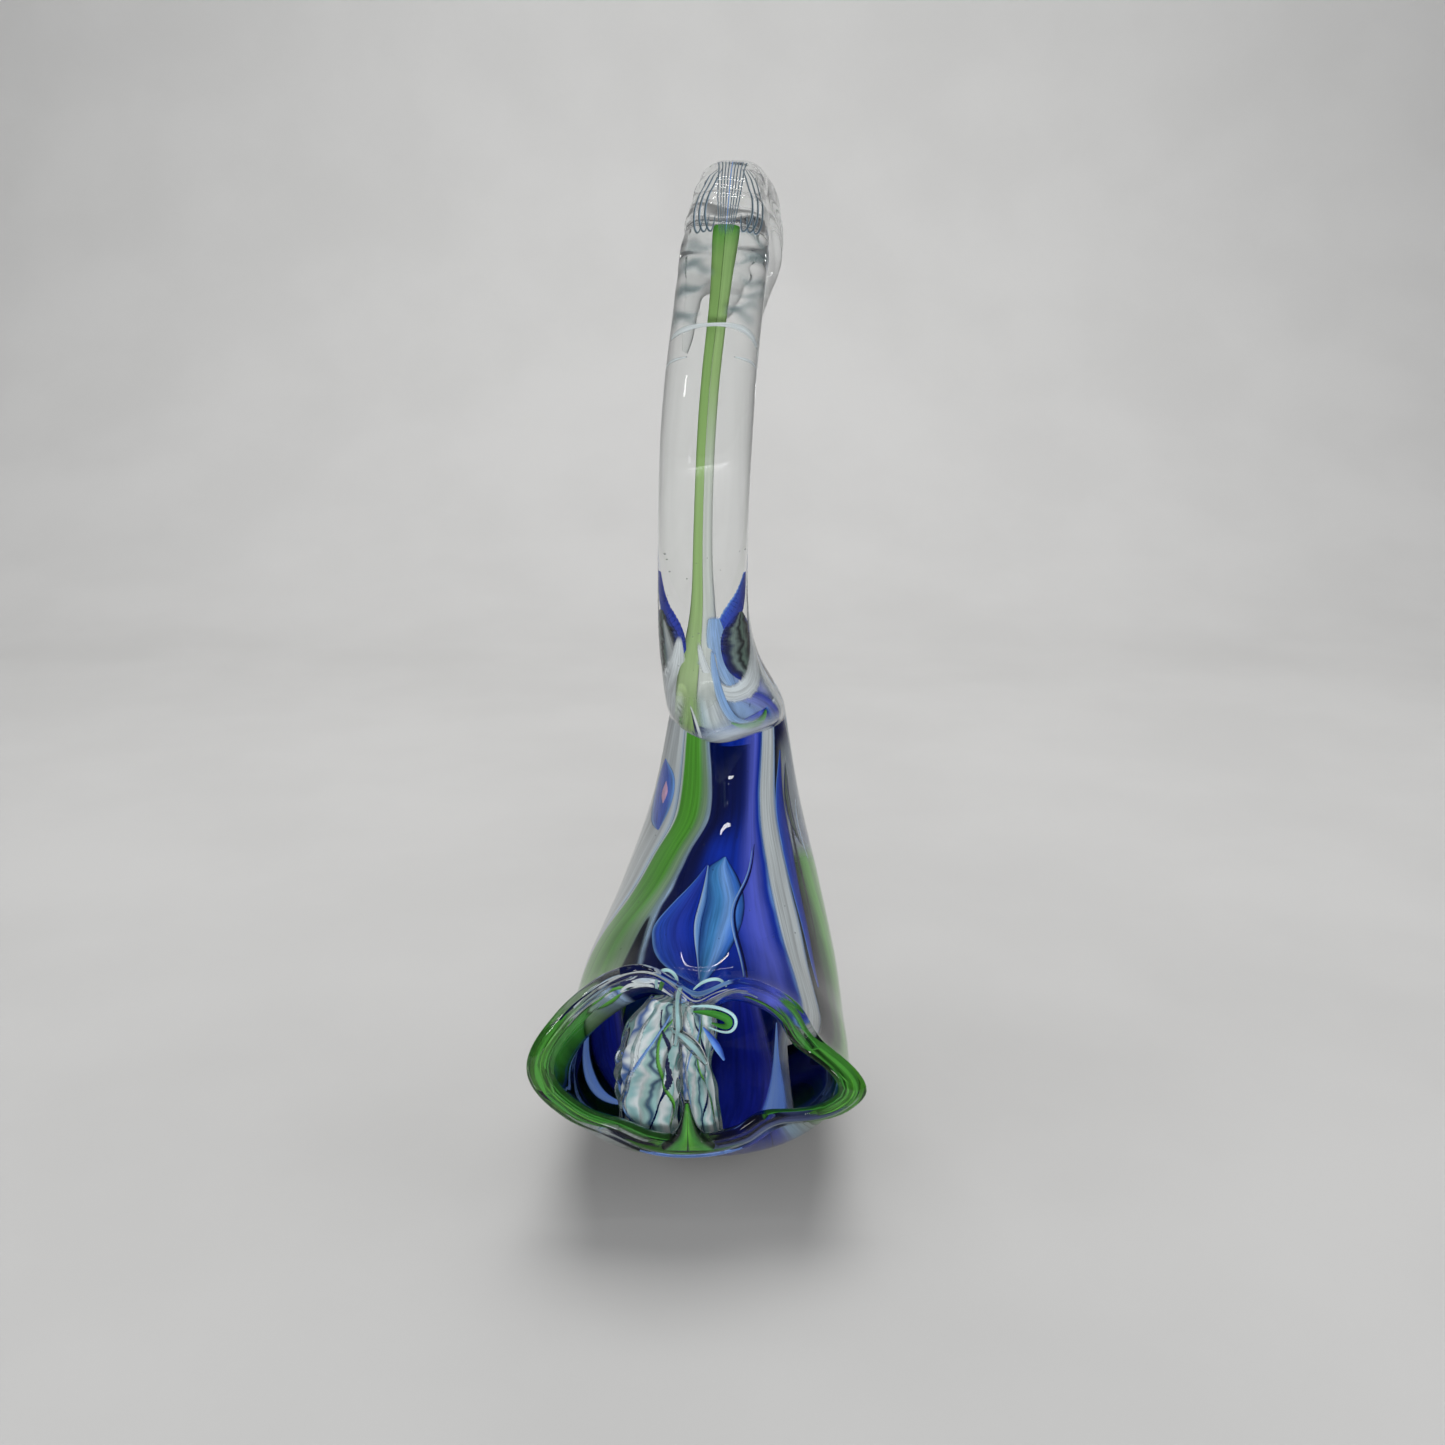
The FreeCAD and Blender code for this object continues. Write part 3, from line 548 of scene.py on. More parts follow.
def skin_point(degrees, fan_angle, depth):
    """Places just under the outer face, on up from the body into the foot of the neck."""
    fan_angle = np.asarray(fan_angle, float)
    height = NECK_MIDDLES[0, 2] + (fan_angle - NECK_ANGLE) * RISE_PER_DEGREE
    above = (fan_angle > NECK_ANGLE)[..., None]
    return np.where(above, neck_point(degrees, height, depth),
                    wall_point(degrees, np.minimum(fan_angle, NECK_ANGLE), depth))


def clear_body():
    """Wall of the body as one closed piece: outer face, rounded lip, cavity, and the flat
    joint to the neck."""
    outer_rows, lip_rows, cavity_rows = 200, 28, 160
    dome_rise, dome_shares = 0.4, (0.7, 0.4, 0.15)
    rows = [body_point(DEGREES, fan, 0.0)
            for fan in np.linspace(NECK_ANGLE, RIM_ANGLE, outer_rows)]
    profile = [(0, 0), (-LIP_SWELL, 0.45), (-LIP_SWELL * 0.5, 0.8), (WALL / 2, 1),
               (WALL + LIP_SWELL * 0.5, 0.8), (WALL + LIP_SWELL, 0.45), (WALL, 0)]
    lip = []
    for depth, reach in profile:
        ring = rim_point(DEGREES, depth)
        ring[:, 1] -= reach * LIP_REACH
        lip.append(ring)
    rows += list(spline_rows(np.array(lip), lip_rows)[1:-1])
    rows += [body_point(DEGREES, fan, WALL, CAVITY_END, CAVITY_TOP_ANGLE)
             for fan in np.linspace(RIM_ANGLE, CAVITY_TOP_ANGLE, cavity_rows)]
    end, top = rows[-1], rows[-1].mean(0) + np.array([0, 0, dome_rise])
    rows += [top + (end - top) * share for share in dome_shares]
    rings = np.array(rows)
    points = np.concatenate([rings.reshape(-1, 3), [top]])
    last = (len(rings) - 1) * AROUND
    faces = quads(len(rings), AROUND, True)
    faces += [(last + k, last + (k + 1) % AROUND, len(points) - 1) for k in range(AROUND)]
    make_piece("clear_body", points, faces, CLEAR, ["clear_casing", "clear_liner", "rim_lip"],
               flat=[tuple(range(AROUND))], flat_material=JOINT)


def outward(rings):
    """Unit steps away from the middle of each ring."""
    away = rings - rings.mean(1, keepdims=True)
    return away / np.linalg.norm(away, axis=-1, keepdims=True)


def tooled(rings, first_row, last_row, size, waves):
    """Tool marks: ripples along a stretch of a rod, strongest in its middle."""
    rows = np.arange(len(rings))
    share = np.clip((rows - first_row) / (last_row - first_row), 0, 1)
    wave = np.sin(math.pi * share)[:, None] * (
        np.sin(waves * share)[:, None] + 0.6 * np.sin(1.7 * waves * share[:, None]
                                                      + 2 * np.sin(np.radians(DEGREES))))
    return rings + outward(rings) * (size * wave)[..., None]


def clear_neck_and_head():
    head_rows, beak_rows, comb_lines, comb_height = 60, 50, 13, 0.3
    neck = tooled(NECK_RINGS, first_row=138, last_row=NECK_ROWS - 1, size=0.22, waves=34)
    tube_piece("clear_neck", neck, CLEAR, ["neck_rod"], JOINT)
    head = rod_rings([NECK[-1]] + HEAD, AROUND, head_rows)
    comb = (np.sin(np.linspace(0, math.pi, head_rows))[:, None]
            * np.sin(np.radians(DEGREES * comb_lines)) * comb_height)
    tube_piece("clear_head", head + outward(head) * comb[..., None], CLEAR, ["head"],
               JOINT)
    beak = rod_rings([HEAD[-1]] + BEAK, AROUND, beak_rows)
    tube_piece("clear_beak", beak, CLEAR, ["beak"], JOINT)


# ---- Coloured bands and ribbons

def shell_piece(name, outer, inner, material, nodes):
    """Closed thin piece between two grids of points with the same edges."""
    along, across = outer.shape[:2]
    points = np.concatenate([outer.reshape(-1, 3), inner.reshape(-1, 3)])
    back = along * across
    faces = quads(along, across, False) + quads(along, across, False, back)
    rim = list(range(across))
    rim += [r * across + across - 1 for r in range(1, along)]
    rim += [(along - 1) * across + k for k in range(across - 2, -1, -1)]
    rim += [r * across for r in range(along - 2, 0, -1)]
    faces += [(a, b, b + back, a + back) for a, b in zip(rim, rim[1:] + rim[:1])]
    uv = np.stack(np.meshgrid(np.linspace(0, 1, across), np.linspace(0, 1, along)), -1)
    return make_piece(name, points, faces, material, nodes,
                      uv=np.tile(uv.reshape(-1, 2), (2, 1)))


EDGE = 0.02                 # half thickness in mm of a coloured piece at its edges
THINNEST = 0.03             # least half width in mm of a ribbon, at its ends


def layer_piece(name, place, degrees, level, depth, bulge, material, nodes):
    """Closed thin piece in a layer, bulge mm thick to each side of its depth."""
    outer, inner = (place(degrees, level, depth + side * bulge + 0 * degrees)
                    for side in (-1, 1))
    return shell_piece(name, outer, inner, material, nodes)


def band(name, left, right, material, slot, depth, place=skin_point, thick=0.3,
         nodes=(), top=None, bottom=None, tip=0.0, across=28, along=150):
    """Thin closed piece in a layer. left and right give its edges, in degrees from the
    middle of the back, at fan angles down the body. It runs from top to bottom, or as far
    as left does. tip is how much of its length rounds off at each end."""
    top = left[0][0] if top is None else top
    bottom = left[-1][0] if bottom is None else bottom
    fans = np.linspace(top, bottom, along)
    share = np.linspace(0, 1, along)
    round_off = np.ones(along)
    if tip:
        near_end = np.clip(np.minimum(share, 1 - share) / tip, 0, 1)
        round_off = np.sqrt(np.clip(1 - (1 - near_end) ** 2, 1e-4, 1))
    start, end = smooth(left, fans), smooth(right, fans)
    t = np.linspace(-1, 1, across)
    degrees = ((start + end) / 2)[:, None] + ((end - start) / 2 * round_off)[:, None] * t
    bulge = thick / 2 * (1 - np.abs(t) ** 6) + EDGE
    fan_grid = np.repeat(fans[:, None], across, 1)
    return layer_piece(name, place, degrees, fan_grid, depth, bulge, material, nodes)


def ribbon(name, path, material, slot, depth, place=skin_point, thick=0.3, nodes=()):
    """Thin closed piece that follows a path of (degrees, fan angle or height, half width
    in mm) in a layer."""
    across, along = 10, 90
    rows = spline_rows(np.array(path, float)[:, None, :], along)[:, 0]
    degrees, level, half_width = rows.T
    half_width = np.maximum(half_width, THINNEST)
    here = place(degrees, level, depth)
    per_degree = np.linalg.norm(place(degrees + 1, level, depth) - here, axis=1)
    per_level = np.linalg.norm(place(degrees, level + 0.5, depth) - here, axis=1) * 2
    per_level = np.maximum(per_level, 0.3)
    run = np.gradient(degrees) * per_degree
    climb = np.gradient(level) * per_level
    length = np.hypot(run, climb) + 1e-9
    t = np.linspace(-1, 1, across)
    degree_grid = degrees[:, None] + (-climb / length / per_degree * half_width)[:, None] * t
    level_grid = level[:, None] + (run / length / per_level * half_width)[:, None] * t
    bulge = thick / 2 * (1 - np.abs(t) ** 4) + EDGE
    return layer_piece(name, place, degree_grid, level_grid, depth, bulge, material, nodes)


def ribbons(table, place=skin_point, thick=0.3):
    """Every ribbon of a table, in its order."""
    for name, material, slot, depth, path in table:
        ribbon(name, path, material, slot, depth, place, thick)


def turned(table, turn=360):
    return [(place, value + turn) for place, value in table]


# Where each coloured band starts, as in the design, but that the third band starts up to
# 6 degrees further round
BAND_STARTS = [
    [(8, -29), (-3, -18), (-9, -18), (-18, -27), (-31, -31), (-60, -34), (-90, -42)],
    [(8, 50), (-5, 36.5), (-25, 35), (-45, 41), (-60, 49), (-76, 57), (-90, 60)],
    [(8, 72), (-6, 56), (-25, 53), (-42, 56), (-56, 60), (-67, 66), (-90, 70)],
    [(8, 100), (-18, 108), (-40, 132), (-52, 143), (-63, 141), (-75, 124), (-90, 108)],
    [(8, 125), (-18, 133), (-40, 147), (-52, 154), (-68, 156), (-76, 148), (-90, 124)],
    [(8, 222), (-30, 218), (-54, 222), (-68, 206), (-90, 200)],
    [(8, 240), (-30, 232), (-54, 235), (-68, 216), (-90, 210)],
    [(8, 296), (-4, 304), (-11, 306), (-19, 300), (-34, 290), (-45, 268), (-60, 250),
     (-90, 232)]]
BAND_STARTS.append(turned(BAND_STARTS[0]))

COLOURED_BANDS = [("blue_back_band", BLUE_BACK, IN_BLUE), ("white_right_band", WHITE, IN_WHITE),
                  ("green_right_band", GREEN_RIGHT_SIDE, IN_GREEN),
                  ("white_chest_right_band", WHITE_TO_BLUE, IN_WHITE),
                  ("blue_chest_band", BLUE_CHEST, IN_BLUE),
                  ("green_chest_left_band", GREEN_CHEST, IN_GREEN),
                  ("white_left_band", WHITE_SIDE, IN_WHITE),
                  ("green_left_band", GREEN_LEFT_SIDE, IN_GREEN)]
OVERLAP = 1.2               # degrees each band reaches under its neighbours
GREEN_RIGHT_TOP = -17       # fan angle where the green on the right starts


def coloured_bands():
    for k, (name, material, slot) in enumerate(COLOURED_BANDS):
        left, right = turned(BAND_STARTS[k], -OVERLAP), turned(BAND_STARTS[k + 1], OVERLAP)
        band(name, left, right, material, slot, nodes=[name], depth=LAYER + 0.3 * (k % 2),
             thick=0.25, top=GREEN_RIGHT_TOP if name == "green_right_band" else NECK_ANGLE + 6,
             bottom=RIM_ANGLE - 5, across=48 if name == "blue_chest_band" else 28)
    ribbon("blue_spot", [(272, 0.2, 0.3), (277, -3, 6.4), (283, -6.8, 8), (289, -10.6, 5.6),
                         (294, -14, 0.3)], SPOT_BLUE, IN_BLUE, nodes=["blue_spot"],
           depth=LAYER - 0.5)
    ribbon("pink_spot_core", [(284, -3.6, 0.1), (286, -5.8, 2), (288, -8, 0.1)], PINK_GLASS,
           IN_PINK, nodes=["pink_spot_core"], depth=LAYER - 0.8)


# (name, glass, slot, depth, thickness, left edge, right edge)
BODY_BANDS = [
    ("blue_leaf", LEAF_BLUE, IN_BLUE, LAYER - 0.6, 0.3, [(-23.6, -10.5), (-31, -17.5), (-38.4, -25),
     (-45.2, -30.5), (-51.4, -29), (-59, -25), (-65, -19), (-69.8, -10.5), (-72.8, 0)],
     [(-23.6, -10), (-37.8, -7.5), (-48.4, -7), (-63.2, -3), (-72.8, 0.5)]),
    ("pale_leaf", PALE_LEAF, IN_WHITE, LAYER - 0.8, 0.3, [(-24, -10), (-37.8, -7.5), (-48.4, -7),
     (-63.2, -3), (-70, -1)], [(-24, -9), (-37.8, -3.6), (-48.4, -3.4), (-61, -2.5), (-70, -0.5)]),
    ("teal_fold", TEAL, IN_BLUE, LAYER - 0.5, 0.3, [(-21, 1), (-24.8, -9), (-37.8, -4),
     (-48.4, -3.5), (-61, -3), (-72.8, 0)], [(-21, 3), (-29.2, 14.5), (-39, 19.5), (-54.2, 15.5),
     (-67.4, 6.5), (-72.8, 0.5)]),
    ("blue_top_shade", DEEP_SHADE, IN_BLUE, LAYER - 0.4, 0.15, [(6, -16), (-6, -14), (-20, -16)],
     [(6, 34), (-6, 26), (-20, 14)]),
    ("right_veil", VEIL, IN_WHITE, LAYER - 0.3, 0.2, [(6, 68), (-8, 54), (-22, 50)],
     [(6, 112), (-8, 108), (-22, 104)])]
# Ribbons, here and further on: (name, glass, slot, depth, path), where a path's places are
# (degrees, fan angle or height in the neck, half width in mm)
BODY_EDGES = [
    ("right_edge_lens", MARBLED, IN_BLUE, LAYER - 0.6, [(78, 0, 0.2), (72, -5, 1.6), (70, -10, 2),
     (72, -15, 1.2), (76, -18, 0.2)]),
    ("right_edge_glint", ICE_LINE, IN_WHITE, LAYER - 0.8, [(84, -8, 0.1), (79, -12, 0.6),
     (78, -17, 0.5), (80, -21, 0.1)])]
CONTOUR = [(26, -16.8, 0.1), (20, -29, 0.25), (14, -41.6, 0.3), (19.5, -58, 0.3), (24, -71, 0.2)]
BODY_STRIPS = [
    ("blue_strip_right", LEAF_BLUE, IN_BLUE, LAYER - 0.7, [(72, 3, 0.2), (60, -6, 2.2),
     (57, -16, 3), (56, -25, 2.6), (59, -42, 1.6), (64, -56, 0.5)]),
    ("left_green_shade", DARK_RIBBON, IN_GREEN, LAYER - 0.5,
     [(324, -40, 0.4), (322, -50, 2.6), (319, -62, 4.6), (317, -74, 5.6), (315, -84, 3.6)]),
    ("dark_strip_right", DARK_RIBBON, IN_BLUE, LAYER - 0.5,
     [(78, -2, 0.1), (70, -10, 0.7), (66, -18, 0.9), (66, -28, 0.6), (67, -44, 0.3)])]


def body_ribbons():
    for name, material, slot, depth, thick, left, right in BODY_BANDS:
        band(name, left, right, material, slot, depth=depth, thick=thick)
    ribbons(BODY_EDGES)
    for name, shift, material in (("contour_line", 0, DARK_LINE),
                                  ("contour_glow", -1.6, SKY_RIBBON)):
        ribbon(name, [(at + shift, fan, half) for at, fan, half in CONTOUR], material, IN_BLUE,
               depth=LAYER - 0.8, thick=0.12)
    ribbons(BODY_STRIPS)


HEEL_RIBBONS = [
    ("heel_haze", HAZE_RIBBON, IN_WHITE, 2.2, [(-60, 108, 4), (-52, 116, 5), (-44, 125, 4),
     (-50, 134, 2.5), (-60, 141, 0.3)]),
    ("heel_grey", HAZE_RIBBON, IN_WHITE, 2.0, [(-4, 105, 6), (-4, 112, 6), (-6, 119, 4.5),
     (-8, 126, 2.4), (-8, 132, 0.8)]),
    ("heel_veil", HAZE_RIBBON, IN_WHITE, 0.9, [(-30, 108, 7), (-2, 111, 8), (30, 110, 8),
     (60, 108, 6)]),
    ("heel_milk_left", MILK_RIBBON, IN_WHITE, 2.6, [(-96, 128, 1), (-84, 121, 5), (-72, 114, 6),
     (-58, 108, 6), (-44, 104, 4)]),
    ("heel_green_left", PALE_GREEN, IN_GREEN, 1.5, [(-36, 105, 4.5), (-34, 111, 4.4),
     (-28, 118, 3.4), (-22, 126, 1.6)]),
    ("heel_white_loop", MILK_RIBBON, IN_WHITE, 1.6, [(-8, 136, 0.4), (-4, 130, 1.2), (8, 124, 2),
     (28, 121.5, 3), (52, 123.5, 3.4), (74, 130, 2.4), (86, 140, 0.4)]),
    ("heel_sky_fall", PALE_PATCH, IN_BLUE, 1.4, [(10, 134, 0.3), (8, 128, 1), (9, 121, 1.3),
     (15, 116, 1.2), (28, 113.5, 0.4)]),
    ("heel_violet", VIOLET_RIBBON, IN_BLUE, 2.2, [(20, 121, 0.6), (38, 119, 3), (52, 114, 3.6),
     (58, 108, 3), (60, 104, 2)]),
    ("heel_white_right", MILK_RIBBON, IN_WHITE, 2.0, [(84, 128, 0.4), (80, 120, 2.2),
     (78, 112, 2.6), (76, 104, 2.6)]),
    ("heel_green_tail", GREEN_RIBBON, IN_GREEN, 1.2, [(10, 116, 0.3), (22, 113.5, 1),
     (36, 113, 1.2), (46, 115, 0.3)]),
    ("heel_hook", MILK_RIBBON, IN_WHITE, 1.1, [(-34, 112, 0.2), (-28, 110.5, 0.5), (-23, 112, 0.6),
     (-24, 117, 0.5), (-27, 120, 0.2)]),
    ("heel_hook_dark", DARK_LINE, IN_BLUE, 1.3, [(-30, 113, 0.1), (-26, 112.5, 0.5),
     (-26, 117, 0.3), (-27, 119, 0.1)]),
    ("left_dark_lens", MARBLED, IN_BLUE, 2.4, [(-66, 124, 0.6), (-63, 128, 4), (-62, 133, 5),
     (-64, 137.5, 4.2), (-67, 142, 0.8)]),
    ("right_dark_lens", MARBLED, IN_BLUE, 2.4, [(52, 122, 0.6), (48, 126.5, 4.2), (49, 132, 5.2),
     (53, 137.5, 4.2), (57, 142, 0.8)]),
    ("left_blue_arch", LEAF_BLUE, IN_BLUE, 3.0, [(-84, 152, 0.4), (-70, 145, 1.8), (-52, 140, 2.4),
     (-38, 136.5, 1.8), (-30, 132, 0.5)]),
    ("right_blue_arch", LEAF_BLUE, IN_BLUE, 3.0, [(80, 152, 0.4), (64, 146, 2.2), (46, 141.5, 2.8),
     (32, 138.5, 2.2), (22, 136, 0.5)]),
    ("right_pale_patch", PALE_PATCH, IN_WHITE, 2.8, [(17, 142, 1.4), (18, 136, 2.8), (20, 129, 2.6),
     (26, 122, 1)]),
    ("left_white_fall", MILK_RIBBON, IN_WHITE, 2.0, [(-33, 137, 0.5), (-38, 130, 2.8),
     (-48, 123, 5.4), (-58, 116, 6), (-62, 110, 4.6)])]


def heel_ribbons():
    """Where the colours of the body are drawn together under the neck's kink."""
    band("heel_base", [(104, -104), (120, -100), (134, -96)], [(104, 106), (120, 104), (134, 96)],
         HEEL_BASE, IN_WHITE, place=neck_point, depth=3.0, top=133, bottom=107, across=60,
         along=60)
    ribbons(HEEL_RIBBONS, neck_point)


MOUTH_RIBBONS = [
    ("crescent", CRESCENT, IN_WHITE, INSIDE + 0.2, [(262, -44, 0.3), (253, -53, 2.6),
     (241, -60, 3.6), (227, -64, 3), (211, -64, 0.4)]),
    ("left_pool", POOL_BLUE, IN_BLUE, INSIDE, [(256, -32, 5), (244, -43, 10), (229, -53, 9),
     (213, -61, 4)]),
    ("right_pool", POOL_BLUE, IN_BLUE, INSIDE, [(168, -40, 5), (166, -50, 10), (166, -60, 11),
     (168, -68, 9), (170, -74, 4)]),
    ("right_stripe", CRESCENT, IN_WHITE, INSIDE + 0.3, [(149, -46, 0.2), (150, -54, 1.6),
     (151, -62, 3.4), (153, -69, 5), (154, -75, 4.6), (152, -80, 1)]),
    ("floor_green", GREEN_RIBBON, IN_GREEN, INSIDE + 0.3, [(187, -76, 3), (184, -80, 6),
     (183, -84, 9), (183, -90, 12)])]
LIP_RIBBONS = [
    ("lower_lip_violet", VIOLET_RIBBON, IN_BLUE, 1.2, [(98, -94, 0.4), (116, -93, 2), (138, -92, 3),
     (158, -92, 2.8), (176, -93, 1)]),
    ("lower_lip_navy", DARK_RIBBON, IN_BLUE, 1.6, [(112, -89, 0.6), (132, -88, 2), (152, -88, 2.2),
     (170, -89, 0.6)]),
    ("lower_lip_green", GREEN_RIBBON, IN_GREEN, 1.0, [(146, -94, 0.4), (164, -93.5, 2),
     (185, -93, 3.2), (206, -93.5, 2.6), (226, -95, 0.5)]),
    ("lower_lip_left_navy", DARK_RIBBON, IN_BLUE, 1.4, [(204, -88, 0.6), (222, -89, 2),
     (240, -90, 0.6)]),
    ("lip_white", MILK_RIBBON, IN_WHITE, 0.5, [(150, -94, 0.3), (166, -94, 1), (183, -93, 1.9),
     (200, -94, 1), (214, -94, 0.3)]),
    ("lip_blue", CRESCENT, IN_WHITE, 0.5, [(152, -90, 0.5), (167, -89, 1.6), (183, -88, 2.4),
     (199, -89, 1.6), (212, -90, 0.5)]),
    ("lip_line_right", MILK_RIBBON, IN_WHITE, 0.8, [(94, -97, 0.2), (112, -96, 0.5),
     (136, -96, 0.5), (160, -96.5, 0.2)]),
    ("lip_line_left", MILK_RIBBON, IN_WHITE, 0.8, [(218, -97, 0.2), (236, -96.5, 0.4),
     (254, -97, 0.2)])]
LIP_STREAKS = 34


def mouth_ribbons():
    """Colours on the inner side of the wall, seen through the mouth, and in its lip."""
    lobe = {"place": wall_point, "top": RIM_ANGLE - 5, "bottom": -50}
    # Both lobes darken from green at the lip to black deeper in: painted shade of the dark inside.
    band("left_lobe", [(-50, 228), (-58, 222), (-66, 214), (-75, 206), (-90, 196)],
         [(-50, 280), (-66, 290), (-75, 296), (-84, 304), (-90, 309)], LOBE_INTO_SHADE, IN_GREEN,
         depth=INSIDE - 0.3, **lobe)
    for name, start, end in (("left_lip_fill", 222, 306), ("right_lip_fill", 36, 118)):
        band(name, [(-97, start + 12), (-84, start)], [(-97, end - 12), (-84, end)], LOBE_FILL,
             IN_GREEN, place=wall_point, depth=WALL / 2, thick=2.4, top=-84, bottom=-97,
             tip=0.3, across=60, along=30)
    ribbons(MOUTH_RIBBONS, wall_point)
    band("right_lobe", [(-50, 132), (-56, 122), (-66, 104), (-78, 74), (-90, 26)],
         [(-50, 144), (-60, 144), (-70, 142), (-80, 136), (-90, 126)], LOBE_INTO_SHADE, IN_GREEN,
         depth=INSIDE - 0.1, **lobe)
    ribbons(LIP_RIBBONS, wall_point, 0.25)
    chance = random.Random(SEED)
    colours = [HAZE_RIBBON, MILK_RIBBON, ICE_LINE, MILK_RIBBON, GREEN_RIBBON, HAZE_RIBBON,
               SKY_RIBBON, MILK_RIBBON, DARK_LINE]
    for k in range(LIP_STREAKS):
        start, reach = chance.uniform(-72, 6), chance.uniform(22, 46)
        level = chance.uniform(-97, -82)
        path = [(start + reach * t, level + chance.uniform(-2.2, 2.2),
                 chance.uniform(0.15, 0.7) * (1.6 - t)) for t in (0, 0.25, 0.5, 0.75, 1)]
        ribbon("upper_lip_streak_%02d" % k, path, colours[k % len(colours)], IN_WHITE,
               place=wall_point, depth=chance.uniform(0.9, 3.4), thick=0.15)


# ---- Thread, streaks and bubbles

def neck_threads():
    """The thread's two halves, each drawn a little small so that they don't touch."""
    around, along, shrink = 48, 200, 0.98
    rings = rod_rings(THREAD, around, along)
    half = around // 2
    for name, columns, material, slot in (
            ("white_thread", list(range(half + 1)), WHITE_THREAD, IN_WHITE),
            ("green_thread", list(range(half, around)) + [0], GREEN_THREAD, IN_GREEN)):
        part = rings[:, columns]
        middle = part.mean(1, keepdims=True)
        tube_piece(name, middle + (part - middle) * shrink, material, [name])


CROWN_LINES, CROWN_HAZES = 9, 14
# (name, path by height in the neck) of painted highlights on the edges of the crown's folds
CROWN_HIGHLIGHTS = [
    ("crown_arc_upper", [(-66, 209.5, 0.3), (-40, 211.5, 0.9), (-4, 212.5, 0.5), (36, 211.5, 1),
                         (64, 207.5, 0.5)]),
    ("crown_arc_left", [(-76, 203, 0.2), (-56, 204.5, 0.45), (-30, 205.5, 0.2)]),
    ("crown_arc_right", [(26, 205.5, 0.2), (50, 204.5, 0.45), (68, 203, 0.2)]),
    ("crown_edge_right", [(64, 211, 0.2), (70, 203, 0.45), (73, 195, 0.2)])]


def crown_streaks():
    """Streaks where the neck was folded over into the head: a comb of fine lines with
    three curls on each side, hazy bands across below it, and painted highlights on the
    edges of folds. All but the highlights lie at places (degrees, section of the crown,
    half width)."""
    chance = random.Random(SEED + 1)
    middle = CROWN_LINES // 2
    crown = {"slot": IN_CLEAR, "place": crown_point, "thick": 0.12}
    for k in range(CROWN_LINES):
        side = (k - middle) / middle
        colour = SKY_RIBBON if k == middle else CROWN_GREY
        path = [(1 + 8 * side, 2.72, 0.1), (1 + 16 * side, 3.3, 0.16), (1 + 21 * side, 3.9, 0.19),
                (1 + 28 * side, 4.5, 0.17), (1 + 46 * side, 4.85, 0.08)]
        ribbon("crown_streak_%02d" % k, path, colour, depth=chance.uniform(0.8, 1.1), **crown)
    for k, (side, reach) in enumerate(((-1, 30), (1, 30), (-1, 38), (1, 38), (-1, 46), (1, 46))):
        inner = 0.35 * (reach - 30)
        path = [(2 + side * (17 + inner), 4.1, 0.1), (2 + side * (reach - 6), 3.7, 0.24),
                (2 + side * (reach + 2), 3.3, 0.3), (2 + side * reach, 2.95, 0.3),
                (2 + side * (reach - 9), 2.8, 0.26), (2 + side * (reach - 12), 3.1, 0.1)]
        ribbon("crown_curl_%d" % k, path, CROWN_GREY, depth=0.9, **crown)
    for k in range(CROWN_HAZES):
        side = -1 if k % 2 else 1
        start, level = side * chance.uniform(4, 22), 2.75 - 0.085 * k
        reach = chance.uniform(45, 75)
        path = [(start + side * reach * t, level + chance.uniform(-0.1, 0.1),
                 chance.uniform(1.6, 3.4) * (0.4 + t)) for t in (0, 0.33, 0.67, 1)]
        ribbon("crown_haze_%02d" % k, path, CROWN_AQUA, depth=chance.uniform(0.6, 1.6), **crown)
    # Painted highlights in milky white, along the edges of the folds
    crown["place"] = neck_point
    for name, path in CROWN_HIGHLIGHTS:
        ribbon(name, path, MILK_RIBBON, depth=0.5, **crown)


def seed_bubbles():
    """Tiny bubbles of air in the clear glass."""
    body_bubbles, neck_bubbles = 70, 40
    chance = random.Random(SEED)
    spots = []
    for _ in range(body_bubbles):
        spots.append((body_point(chance.uniform(-100, 100), chance.uniform(-88, 6),
                                 chance.uniform(0.6, 2.2)), chance.uniform(0.1, 0.28)))
    for _ in range(neck_bubbles):
        spots.append((neck_point(chance.uniform(-90, 90), chance.uniform(112, 160),
                                 chance.uniform(1, 5)), chance.uniform(0.1, 0.25)))
    ball = bmesh.new()
    bmesh.ops.create_icosphere(ball, subdivisions=2, radius=1)
    shape = np.array([v.co[:] for v in ball.verts])
    triangles = [tuple(v.index for v in face.verts) for face in ball.faces]
    ball.free()
    points, faces = [], []
    for middle, radius in spots:
        start = len(points) * len(shape)
        points.append(np.asarray(middle) + shape * radius)
        faces += [tuple(start + k for k in face) for face in triangles]
    make_piece("seed_bubbles", np.concatenate(points), faces, BUBBLE, [])


# ---- Pinched folds

# (x, y, z of the middle, half width, half depth) down each fold, as in the design
LEFT_FOLD = [(-12, -42, 57.5, 5.4, 3.2), (-15.5, -41, 49, 7.8, 3.4),
             (-17.5, -39, 39, 7.8, 3.6), (-18, -37, 29, 8, 3.4), (-17.5, -34, 15.5, 8, 3)]
RIGHT_FOLD = [(-6, -42, 57, 4.2, 3), (-6, -42.5, 49, 4, 3), (-6.6, -41, 40, 3.6, 3),
              (-5.6, -38, 30, 4, 2.8), (-4.6, -34.5, 16, 4.6, 2.6)]


